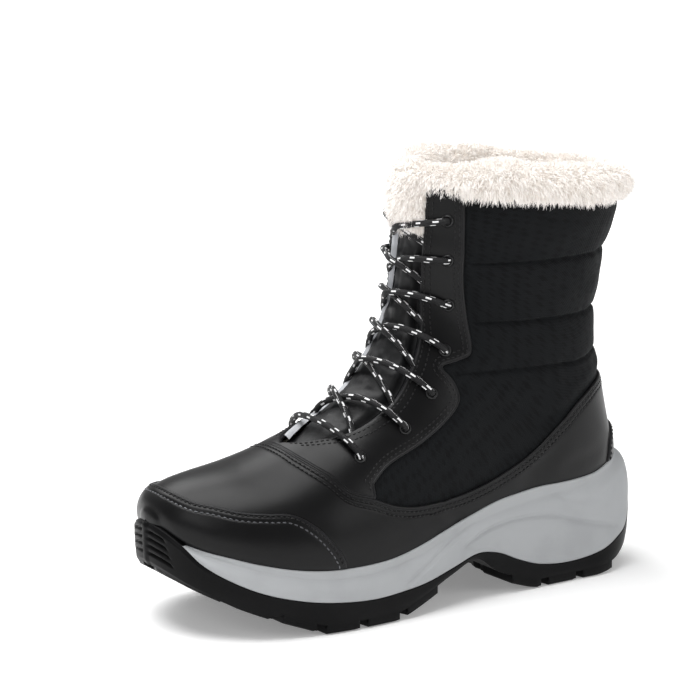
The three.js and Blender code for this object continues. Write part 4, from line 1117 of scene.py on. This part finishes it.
foam_faces = grid_faces(len(foam_rings), places_round, closed=True)
place_step = 1.35
foam_uv = np.stack([np.tile(np.arange(places_round) * place_step, len(foam_rings)), foam_points[:, 2]], -1)
make_piece("midsole_foam", foam_points, foam_faces, foam, ["midsole"], foam_uv)

# %% [markdown]
# ## The rubber tread
# The tread is a thin rubber shell with a ribbed bumper that climbs the toe, a row of lugs on each
# side and one along the middle. Its wall is built like the foam's. The lugs are blocks whose faces
# follow the ground line, with a small round on every lower edge.

# %% Tread shell with its toe bumper
ring_travel = walked_length(outer_ring)
from_toe = np.abs(ring_travel - ring_travel[places_round // 2])


def bumper_ribs(step):
    slots = np.zeros(places_round)
    for middle in (0.3, 0.47, 0.64, 0.81):
        slots = np.maximum(slots, np.exp(-((step - middle - 0.0012 * from_toe) / 0.035) ** 4))
    reach = ease(2.4, 3.4, from_toe) * (1 - ease(20, 24, from_toe + 9 * step))
    rib = 0.6 * (1 - ease(1.4, 2.6, from_toe))
    return rib - 1.5 * slots * reach


tread_rings = []
tread_low = wall_ground + lug_depth * (1 - 0.95 * ease(0.83, 0.87, wall_share))
for step in np.linspace(0, 1, 52):
    height = tread_low + (wall_joint - 0.3 - tread_low) * step
    proud = 0.9 * ease(0.93, 0.975, wall_share) * ease(0.0, 0.12, step) * (1 - ease(0.9, 1.0, step))
    reach = reach_at(read_rows([0, 0.4, 1.0], [1.0, 0.3, -0.1], step)) + 0.35 + proud
    tread_rings.append((reach + bumper_ribs(step) * ease(0.9, 0.95, wall_share), height))
top_reach, top_height = tread_rings[-1]
tread_rings += [(top_reach - 0.5, top_height + 0.25), (top_reach - 5.0, top_height + 0.3)]

# Underneath, rings close in toward the sole's middle line.
low_reach, low_height = tread_rings[0]
inner_ring = outer_ring + ring_out * (low_reach - 0.6)[:, None]
inner_share = sole_share(inner_ring[:, 0])
to_middle = sole_middle(inner_share) - inner_ring[:, 1]
underside = level(profile_ground, inner_share) + lug_depth - 0.1
bottom = [wall_points(low_reach - 0.5, low_height - 0.1), wall_points(low_reach - 2.0, low_height)]
for share_in in (0.02, 0.06, 0.15, 0.3, 0.5, 0.7, 0.88):
    bottom.append(np.column_stack([inner_ring[:, 0], inner_ring[:, 1] + to_middle * share_in, underside]))
tread_points = bottom[::-1] + [wall_points(reach, height) for reach, height in tread_rings]
tread_count = len(tread_points)
tread_shell = np.concatenate(tread_points)
tread_shell[:places_round, 1] = sole_middle(wall_share)
shell_part = (tread_shell, grid_faces(tread_count, places_round, closed=True))
print("rings in the tread:", tread_count)

# %% Lugs
edge_lugs = [(0.09, 0.163), (0.18, 0.246), (0.264, 0.335), (0.515, 0.585), (0.603, 0.672), (0.69, 0.757),
             (0.775, 0.838), (0.856, 0.91), (0.928, 0.975)]


lug_lines = np.concatenate([[0, 0, 0.06], np.linspace(0.15, 0.85, 5), [0.94, 1, 1]])
lug_u, lug_v = np.meshgrid(lug_lines, lug_lines, indexing="ij")
from_side = np.minimum(np.arange(len(lug_lines)), np.arange(len(lug_lines))[::-1])
from_edge = np.minimum(from_side[:, None], from_side[None, :])
lug_rise = np.choose(np.minimum(from_edge, 2), [lug_depth + 1.2, 0.9, 0.0])


def lug_block(x, y):
    ground = level(profile_ground, sole_share(x))
    points = np.column_stack([x.ravel(), y.ravel(), (ground + lug_rise).ravel()])
    return points, grid_faces(*lug_u.shape)


def edge_lug(start, end, side):
    share = start + (end - start) * lug_u
    outer = plan_edge(share, side, 0.6)
    across = sole_middle(share)
    inner_y = across + (outer[..., 1] - across) * 0.4
    return lug_block(outer[..., 0] + 5 * (1 - lug_v), inner_y + (outer[..., 1] - inner_y) * lug_v)


def centre_lug(middle):
    reach_y = float(sole_half(middle)) * 0.3
    y = float(sole_middle(middle)) + reach_y * (2 * lug_v - 1)
    point = 5 * (1 - np.abs(2 * lug_v - 1))
    return lug_block(float(along_x(middle)) - 9 + (13 + point) * lug_u, y)


lug_parts = []
for start, end in edge_lugs:
    lug_parts += [edge_lug(start, end, 1), edge_lug(start, end, -1), centre_lug((start + end) / 2)]
tread_all = join_parts([shell_part] + lug_parts)
make_piece("outsole_rubber", tread_all[0], tread_all[1], rubber, ["outsole"], tread_all[2])
print("lugs:", len(lug_parts))

# %% [markdown]
# ## The footbed
# A felt insole lies on the foam, slightly dished. Only a little of it can be seen, down the throat
# and the collar, but the boot is open there, so it has to be real.

# %% Insole
seat_places = np.array(upper_columns["back"][:13])[::-1]
seat_values = np.array(upper_columns["seat"][:13])[::-1]


def seat_level(share):
    return heel_rise * read_rows(seat_places, seat_values, np.clip(share, seat_places[0], seat_places[-1]))


bed_rings = []
for inset, rise in ((10.5, 3.2), (10.2, 6.2), (11.0, 7.0), (14, 7.2), (20, 6.9), (28, 6.6)):
    flat = plan_ring(inset)
    bed_rings.append(np.column_stack([flat, seat_level(sole_share(flat[:, 0])) + rise]))
last = bed_rings[-1].copy()
last[:, 1] = sole_middle(sole_share(last[:, 0]))
bed_rings.append(last)
bed_points = np.concatenate(bed_rings)
make_piece("insole_felt_bed", bed_points, grid_faces(len(bed_rings), places_round, closed=True), felt,
           ["insole"], bed_points[:, :2])

# %% [markdown]
# ## The tongue
# The tongue is a padded strip of nylon that lies under the laces and crumples where the ankle
# bends. It is a closed pillow on the same surface, raised in the throat, with cross wrinkles and
# lengthwise tucks, and a lighter gusset strip shows at its inner edge.

# %% Tongue
tongue_depth = 5.0
tongue_along = np.linspace(6.3, 20.3, 330)
tongue_across = np.linspace(-1, 1, 61)
t_along, t_share = np.meshgrid(tongue_along, tongue_across, indexing="ij")
t_width = t_share * (throat_half(t_along) + throat_width * 0.3)
t_turn = turn_at_width(t_along, t_width)
in_throat = 1 - ease(throat_half(t_along) - 5.5, throat_half(t_along) - 1.5, np.abs(t_width))
swell = in_throat * ease(6.6, 8, t_along)
t_bare = bare_surface(t_along, t_turn)
fold = soft_noise(t_bare.reshape(-1, 3) * [1, 0.5, 1], 8, 11).reshape(t_along.shape)
crumple = soft_noise(t_bare.reshape(-1, 3), 4, 12).reshape(t_along.shape)
top_offset = -upper_wall - 1.2 + swell * (upper_wall + 0.2 + 1.3 * fold + 0.5 * crumple)
low_offset = np.full_like(top_offset, -upper_wall - tongue_depth)
tongue_top = upper_surface(t_along, t_turn, top_offset)
tongue_low = upper_surface(t_along, t_turn, low_offset)
rows_t, columns_t = t_along.shape
top_faces = grid_faces(rows_t, columns_t)
low_faces = top_faces[:, ::-1] + rows_t * columns_t
rim_index = np.concatenate([np.arange(columns_t), np.arange(1, rows_t) * columns_t + columns_t - 1,
                            (rows_t - 1) * columns_t + np.arange(columns_t - 2, -1, -1),
                            np.arange(rows_t - 2, 0, -1) * columns_t])
beside = np.roll(rim_index, -1)
rim_faces = np.stack([beside, rim_index, rim_index + rows_t * columns_t, beside + rows_t * columns_t], -1)
tongue_uv = np.stack([t_width.ravel(), np.interp(t_along.ravel(), coarse, travel)], -1)
tongue = make_piece("tongue_padded", np.vstack([tongue_top.reshape(-1, 3), tongue_low.reshape(-1, 3)]),
                    np.vstack([top_faces, low_faces, rim_faces]), tongue_cloth, ["tongue"],
                    np.vstack([tongue_uv, tongue_uv]))

# %% The tongue's lining
# The foot's side of the tongue carries the same pressed pile as the shaft's inside.
coarse_along, coarse_turn = t_along[::3, ::3], t_turn[::3, ::3]
lined = bare_surface(coarse_along, coarse_turn).reshape(-1, 3)
pile_waves = 0.4 * soft_noise(lined, 5, 13).reshape(coarse_along.shape)
tongue_inside = upper_surface(coarse_along, coarse_turn, -upper_wall - tongue_depth - 0.6 + pile_waves)
make_piece("tongue_lining", tongue_inside.reshape(-1, 3), grid_faces(*coarse_along.shape)[:, ::-1], felt)

# %% Gusset strip at the tongue's inner edge
strip_width, strip_puff = 6.0, 2.2
strip_along = np.linspace(6.5, 18.6, 260)
strip_share = np.linspace(0, 1, 8)
g_along, g_share = np.meshgrid(strip_along, strip_share, indexing="ij")
g_width = -(throat_half(g_along) + 0.4 - strip_width * (1 - g_share))
g_offset = -0.9 + strip_puff * np.sin(np.pi * g_share)
g_points = upper_surface(g_along, turn_at_width(g_along, g_width), g_offset).reshape(-1, 3)
g_faces = grid_faces(len(strip_along), len(strip_share))[:, ::-1]
make_piece("tongue_gusset", g_points, g_faces, gusset_cloth)

# %% [markdown]
# ## Eyelet rims
# Each hole is bound by a small enamelled ring, pressed flat on the facing. A ring is a profile
# turned round the hole's axis.

# %% Rims
hole_radius, rim_radius = eyelet_hole / 2, eyelet_width / 2
ring_profile = [(hole_radius - 0.05, -1.6), (hole_radius - 0.1, 0.3), (hole_radius + 0.25, 0.75),
                (hole_radius + 0.65, 0.8), (rim_radius - 0.4, 0.5), (rim_radius, 0.0),
                (rim_radius - 0.2, -0.4)]
angles = np.linspace(0, 2 * np.pi, 28, endpoint=False)
flat_rim = np.array([(radius * math.cos(angle), radius * math.sin(angle), rise)
                     for radius, rise in ring_profile for angle in angles])
rim_names, rim_parts = [], []
for side_name, sign in (("lateral", 1), ("medial", -1)):
    for index in range(7):
        turn = turn_at_width(eyelet_at[index], sign * eyelet_out[index])
        centre = upper_surface(eyelet_at[index], turn, facing_top + 0.15)
        axis = Vector(surface_normal(eyelet_at[index], turn))
        spin = Vector((0, 0, 1)).rotation_difference(axis).to_matrix()
        rim_parts.append((flat_rim @ np.array(spin).T + centre,
                          grid_faces(len(ring_profile), len(angles), closed=True)))
        rim_names.append(f"eyelet_{side_name}_{index + 1}")
rims = join_parts(rim_parts)
make_piece("eyelet_rims", rims[0], rims[1], enamel, rim_names)

# %% [markdown]
# ## The lace
# A round braided polyester lace, 3.3 mm thick, black with pairs of white flecks where two light
# yarns come to the surface. The braid is a bump along the tube's own millimetres. The flecks are
# dashes 3 mm long on five yarns round the lace, every 9.5 mm, each yarn a little behind the next.

# %% Braided lace material
lace_cloth = new_material("polyester_lace_braided")
lace_place = add_node(lace_cloth, "ShaderNodeUVMap", {"uv_map": "millimetres"})
lace_split = add_node(lace_cloth, "ShaderNodeSeparateXYZ", links={0: lace_place.outputs[0]})
yarn_count = add_node(lace_cloth, "ShaderNodeMath", {"operation": "MULTIPLY"}, {1: 5.0},
                      {0: lace_split.outputs["Y"]})
yarn_here = add_node(lace_cloth, "ShaderNodeMath", {"operation": "FRACT"}, links={0: yarn_count.outputs[0]})
yarn_narrow = add_node(lace_cloth, "ShaderNodeMath", {"operation": "LESS_THAN"}, {1: 0.42},
                       {0: yarn_here.outputs[0]})
yarn_number = add_node(lace_cloth, "ShaderNodeMath", {"operation": "FLOOR"},
                       links={0: yarn_count.outputs[0]})
stagger = add_node(lace_cloth, "ShaderNodeMath", {"operation": "MULTIPLY"}, {1: 0.17},
                   {0: yarn_number.outputs[0]})
fleck_place = add_node(lace_cloth, "ShaderNodeMath", {"operation": "MULTIPLY_ADD"}, {1: 1 / 9.5},
                       {0: lace_split.outputs["X"], 2: stagger.outputs[0]})
fleck_wave = add_node(lace_cloth, "ShaderNodeMath", {"operation": "FRACT"},
                      links={0: fleck_place.outputs[0]})
fleck_here = add_node(lace_cloth, "ShaderNodeMath", {"operation": "LESS_THAN"}, {1: 0.3},
                      {0: fleck_wave.outputs[0]})
fleck = add_node(lace_cloth, "ShaderNodeMath", {"operation": "MULTIPLY"},
                 links={0: fleck_here.outputs[0], 1: yarn_narrow.outputs[0]})
lace_tone = add_node(lace_cloth, "ShaderNodeMix", {"data_type": "RGBA"},
                     {6: to_linear("#0a0a0c"), 7: to_linear("#e4e4e5")}, {0: fleck.outputs[0]})
braid_scale = add_node(lace_cloth, "ShaderNodeVectorMath", {"operation": "MULTIPLY"},
                       {1: (1.0, 12.0, 1.0)}, {0: lace_place.outputs[0]})
braid = add_node(lace_cloth, "ShaderNodeTexVoronoi", {"feature": "F1"}, {"Scale": 1.1, "Randomness": 0.2},
                 {"Vector": braid_scale.outputs[0]})
lace_bump = add_node(lace_cloth, "ShaderNodeBump", {"invert": True}, {"Strength": 0.7, "Distance": 0.4 * MM},
                     {"Height": braid.outputs["Distance"]})
lace_surface = add_node(lace_cloth, "ShaderNodeBsdfPrincipled", {},
                        {"Roughness": 0.6, "Sheen Weight": 0.03, "Specular IOR Level": 0.3},
                        {"Base Color": lace_tone.outputs[2], "Normal": lace_bump.outputs[0]})
add_node(lace_cloth, "ShaderNodeOutputMaterial", links={"Surface": lace_surface.outputs[0]})
print("lace material:", len(lace_cloth.node_tree.nodes), "nodes")

# %% [markdown]
# ## Lacing
# One strand comes out from under the facing at one eyelet, crosses the tongue and goes down into
# the next eyelet of the other side. A bar joins the lowest pair. Where two strands cross, one
# rides over the other.

# %% Strands
lace_width = 3.3
lace_over_facing = facing_top + 0.8 + 0.9 + lace_width / 2 + 0.2
lace_over_tongue = 2.2
in_hole, over_rim = -1.6, facing_top + 0.8
path_points, lace_sides = 70, 14


def smooth_path(points):
    points = np.asarray(points, float)
    places = np.r_[0, np.cumsum(np.linalg.norm(np.diff(points, axis=0), axis=1) ** 0.5)]
    fine = np.linspace(0, places[-1], path_points)
    path = np.stack([read_rows(places, points[:, axis], fine) for axis in range(3)], -1)
    travelled = walked_length(path)
    even = np.linspace(0, travelled[-1], path_points)
    return np.stack([np.interp(even, travelled, path[:, axis]) for axis in range(3)], -1)


def strand_path(index, sign):
    start_at, end_at = eyelet_at[index], eyelet_at[index + 1]
    start_out, end_out = eyelet_out[index], eyelet_out[index + 1]
    edge_width = float(throat_half(start_at))
    hidden = (start_out - edge_width - 4) / (start_out + end_out)
    leaves = (start_out - edge_width + 2.5) / (start_out + end_out)
    rides_over = 3.2 if (sign > 0) == (index % 2 == 0) else 0.0
    course = [(hidden, -0.9), (leaves, 0.9), (0.36, lace_over_tongue), (0.5, lace_over_tongue + rides_over),
              (0.64, lace_over_tongue + 1.2 + rides_over * 0.3), (0.76, lace_over_facing - 1.0),
              (0.88, lace_over_facing - 0.4), (0.965, lace_over_facing - 1.0), (1.0, over_rim),
              (1.004, in_hole)]
    points = []
    for share, offset in course:
        along = start_at + (end_at - start_at) * share
        width = sign * (start_out + (-end_out - start_out) * share)
        points.append(upper_surface(along, turn_at_width(along, width), offset))
    return smooth_path(points)


for index in range(6):
    crossing = join_parts([tube(strand_path(index, sign), lace_width / 2, lace_sides) for sign in (1, -1)])
    make_piece(f"lace_strands_{index + 1}", crossing[0], crossing[1], lace_cloth,
               [f"lace_crossing_{index + 1}"], crossing[2])
bar_half = [(0.4, lace_over_facing - 0.6), (0.8, lace_over_facing - 0.4), (0.94, lace_over_facing - 1.0),
            (1.0, over_rim), (1.003, in_hole)]
other_half = [(-share, offset) for share, offset in bar_half[::-1]]
bar_points = []
for share, offset in other_half + [(0, lace_over_facing - 0.8)] + bar_half:
    along = eyelet_at[0] - 0.25 * (1 - min(abs(share), 1) ** 2)
    bar_points.append(upper_surface(along, turn_at_width(along, share * eyelet_out[0]), offset))
bar = tube(smooth_path(bar_points), lace_width / 2, lace_sides)
make_piece("lace_lowest_bar", bar[0], bar[1], lace_cloth, ["lace_bar"], bar[2])

# %% [markdown]
# ## The roll of pile
# The roll is a soft ring round the collar: thick at the back and sides, thin where the tongue
# stands in front. A lumpy core keeps light from passing through, and the strands stand on it in
# clumps, each clump leaning its own way and hanging a little at the lower edge.

# %% Core of the roll
def collar_point(turn):
    low, high = np.full(turn.shape, 14.0), np.full(turn.shape, float(last_section))
    for _ in range(30):
        middle = (low + high) / 2
        point = bare_surface(middle, turn)
        below = point[..., 2] < collar_edge(point[..., 0])
        low, high = np.where(below, middle, low), np.where(below, high, middle)
    out = surface_normal(low, turn)
    out[..., 2] = 0
    return upper_surface(low, turn, -upper_wall / 2), unit(out)


fur_out, fur_in, fur_down, fur_up = 9.5, 10, -1, 19
fur_back_lift, fur_back_fall = 3, 2
front_reach, front_drop, front_fall = 2.5, -2, 6


def roll_point(turn, spin, swell):
    point, out = collar_point(turn)
    from_front = np.minimum(np.abs(turn), 2 * np.pi - np.abs(turn))
    side = ease(0.5, 1.15, from_front)
    back = ease(1.3, 2.7, from_front)
    reach = front_reach + (fur_out - front_reach) * side
    drop = front_drop + (fur_down - front_drop) * side - fur_back_lift * back
    rise = fur_up - front_fall * (1 - side) - fur_back_fall * back
    lump = swell * (1 + 0.07 * np.sin(5 * turn + 2 * spin) + 0.05 * np.sin(11 * turn + spin))
    outward = np.cos(spin) * lump * (reach + fur_in) * 0.5 + (reach - fur_in) * 0.5
    upward = np.sin(spin) * lump * (rise + drop) * 0.5 + (rise - drop) * 0.5
    result = point + out * outward[..., None]
    result[..., 2] += upward
    return result


core_steps, core_sides = 180, 36
core_turns = np.linspace(0, 2 * np.pi, core_steps + 1)[:-1]
core_spins = np.linspace(0, 2 * np.pi, core_sides + 1)[:-1]
core_turn, core_spin = np.meshgrid(core_turns, core_spins, indexing="ij")
core_points = roll_point(core_turn, core_spin, 0.88)
core_faces = grid_faces(core_steps, core_sides, closed=True)
here, beside = np.arange(core_sides), (np.arange(core_sides) + 1) % core_sides
last_start = (core_steps - 1) * core_sides
core_closing = np.stack([here + last_start, beside + last_start, beside, here], -1)
# The core takes the colour near a strand's root, the painted shade deep in the pile.
core_warmth, core_shade = 0.6, 0.1
core_uv = np.tile([core_warmth, core_shade], (core_steps * core_sides, 1))
core = make_piece("collar_pile_core", core_points.reshape(-1, 3), np.vstack([core_faces, core_closing]),
                  pile, ["fur_collar", "tongue_fur"], core_uv)

# %% Strands of the pile
strand_width, clumping, strands_per_clump, chunk = 0.6, 0.4, 26, 2000


def strands(roots, normals, lengths, droop, seed):
    random = np.random.default_rng(seed)
    count = len(roots)
    centres = random.choice(count, max(count // strands_per_clump, 1), replace=False)
    lean = unit(normals + random.normal(0, 0.6, (count, 3)))
    clump_lean = unit(normals[centres] + random.normal(0, 0.6, (len(centres), 3)))
    nearest = np.empty(count, int)
    for start in range(0, count, chunk):
        part = roots[start:start + chunk]
        nearest[start:start + chunk] = ((part[:, None] - roots[centres][None]) ** 2).sum(-1).argmin(1)
    target = roots[centres][nearest] + clump_lean[nearest] * lengths[:, None]
    tip_free = roots + lean * lengths[:, None]
    tip = tip_free * (1 - clumping) + target * clumping
    heading = tip - roots
    levels = np.linspace(0, 1, 3)
    facing = unit(np.cross(unit(heading), normals + random.normal(0, 0.45, (count, 3))))
    rows = []
    for share in levels:
        middle = roots + heading * share + normals * (lengths * 0.12 * np.sin(np.pi * share))[:, None]
        middle[:, 2] -= droop * lengths * share ** 2
        half = facing * (strand_width / 2 * (1 - share) ** 0.7 + 0.04)
        rows += [middle - half, middle + half]
    points = np.stack(rows, 1)
    corners = 2 * len(levels)
    faces = repeated_faces(grid_faces(len(levels), 2), corners, count)
    warm = np.repeat(random.uniform(0, 1, count), corners)
    uv = np.column_stack([warm, np.tile(np.repeat(levels, 2), count)])
    return points.reshape(-1, 3), faces, uv


quarters = 5
strands_each = 18500
for quarter in range(quarters):
    random = np.random.default_rng(40 + quarter)
    turn = (quarter + random.uniform(0, 1, strands_each)) * 2 * np.pi / quarters
    spin = random.uniform(-0.5, 1.35, strands_each) * np.pi
    here = roll_point(turn, spin, 0.86)
    nearby = roll_point(turn, spin, 0.92)
    outward = unit(nearby - here)
    lower_edge = np.exp(-((spin + 0.35 * np.pi) / 0.7) ** 2)
    length = random.uniform(2.6, 4.6, strands_each) * (1 + 0.5 * lower_edge)
    droop = 0.1 + 0.25 * np.clip(np.cos(spin), 0, 1)
    hair = strands(here, outward, length, droop, 50 + quarter)
    make_piece(f"collar_pile_strands_{quarter + 1}", hair[0], hair[1], pile, uv=hair[2])

# %% Tuft of pile on the tongue
tuft_rows, tuft_columns, tuft_margin = 40, 31, 0.8
tuft_along = np.linspace(17.7, 20.9, tuft_rows)
tuft_share = np.linspace(-1, 1, tuft_columns)
u_along, u_share = np.meshgrid(tuft_along, tuft_share, indexing="ij")
u_width = u_share * (throat_half(u_along) - tuft_margin)


def tuft_offset(along, share):
    return -1.5 + (3.0 + 3.5 * ease(18, 19.4, along)) * (1 - share ** 4) * ease(17.6, 18.3, along)


tuft_points = upper_surface(u_along, turn_at_width(u_along, u_width), tuft_offset(u_along, u_share))
tuft_faces = grid_faces(tuft_rows, tuft_columns)[:, ::-1]
# The tuft's core takes the same painted root shade.
make_piece("tongue_pile_core", tuft_points.reshape(-1, 3), tuft_faces, pile,
           uv=np.tile([core_warmth, core_shade], (tuft_rows * tuft_columns, 1)))
random = np.random.default_rng(77)
tuft_count = 12000
tuft_at = random.uniform(17.75, 20.9, tuft_count)
tuft_side = random.uniform(-1, 1, tuft_count)
tuft_turn = turn_at_width(tuft_at, tuft_side * (throat_half(tuft_at) - tuft_margin))
tuft_root = upper_surface(tuft_at, tuft_turn, tuft_offset(tuft_at, tuft_side) - 0.5)
tuft_out = unit(surface_normal(tuft_at, tuft_turn) + np.array([0, 0, -0.35]))
tuft = strands(tuft_root, tuft_out, random.uniform(3.5, 6.5, tuft_count), 0.35, 78)
make_piece("tongue_pile_strands", tuft[0], tuft[1], pile, uv=tuft[2])

# %% [markdown]
# ## Studio
# The boot stands on a white sweep that glows a little more far away, so that the background is pure
# white. Four softboxes light it, from overhead, the rear, the front and the side, and a dim world
# keeps the black leather black.

# %% Floor and lights
floor_paper = new_material("white_paper_sweep")
paper_place = add_node(floor_paper, "ShaderNodeTexCoord")
paper_fibre = add_node(floor_paper, "ShaderNodeTexNoise", {}, {"Scale": 900},
                       {"Vector": paper_place.outputs["Object"]})
paper_bump = add_node(floor_paper, "ShaderNodeBump", {}, {"Strength": 0.02, "Distance": 0.0001},
                      {"Height": paper_fibre.outputs["Fac"]})
paper_away = add_node(floor_paper, "ShaderNodeVectorMath", {"operation": "LENGTH"},
                      links={0: paper_place.outputs["Object"]})
paper_light = add_node(floor_paper, "ShaderNodeMapRange", {"interpolation_type": "SMOOTHSTEP"},
                       {"From Min": 0.35, "From Max": 1.6, "To Min": 0.22, "To Max": 1.0},
                       {"Value": paper_away.outputs["Value"]})
paper_surface = add_node(floor_paper, "ShaderNodeBsdfPrincipled", {},
                         {"Base Color": to_linear("#f4f4f4"), "Roughness": 0.9,
                          "Emission Color": (1, 1, 1, 1)},
                         {"Normal": paper_bump.outputs[0], "Emission Strength": paper_light.outputs[0]})
add_node(floor_paper, "ShaderNodeOutputMaterial", links={"Surface": paper_surface.outputs[0]})
floor_reach, floor_level = 40, -0.0002
floor_mesh = bpy.data.meshes.new("floor")
floor_corners = [(x * floor_reach, y * floor_reach, floor_level)
                 for x, y in ((-1, -1), (1, -1), (1, 1), (-1, 1))]
floor_mesh.from_pydata(floor_corners, [], [(0, 1, 2, 3)])
floor_mesh.materials.append(floor_paper)
floor = bpy.data.objects.new("floor", floor_mesh)
bpy.context.scene.collection.objects.link(floor)


def softbox(name, place, target, size, power):
    light_data = bpy.data.lights.new(name, "AREA")
    light_data.shape = "RECTANGLE"
    light_data.size, light_data.size_y = size
    light_data.energy = power
    light = bpy.data.objects.new(name, light_data)
    bpy.context.scene.collection.objects.link(light)
    light.location = place
    direction = Vector(target) - Vector(place)
    light.rotation_euler = direction.to_track_quat("-Z", "Y").to_euler()
    print(name, "at", place)


softbox("overhead_softbox", (0.4, 0.0, 1.4), (0.1, 0, 0.1), (1.2, 0.9), 20)
softbox("rear_softbox", (0.25, -0.9, 1.1), (0.15, 0, 0.1), (0.9, 0.7), 8)
softbox("front_softbox", (1.4, 0.5, 0.9), (0.1, 0, 0.1), (0.8, 0.8), 4)
softbox("side_softbox", (-0.8, 1.3, 0.7), (0.05, 0, 0.1), (0.8, 0.8), 5)
world_strength = 0.32
world = bpy.data.worlds.new("studio_air")
bpy.context.scene.world = world
world.use_nodes = True
world.node_tree.nodes["Background"].inputs[0].default_value = (1, 1, 1, 1)
world.node_tree.nodes["Background"].inputs[1].default_value = world_strength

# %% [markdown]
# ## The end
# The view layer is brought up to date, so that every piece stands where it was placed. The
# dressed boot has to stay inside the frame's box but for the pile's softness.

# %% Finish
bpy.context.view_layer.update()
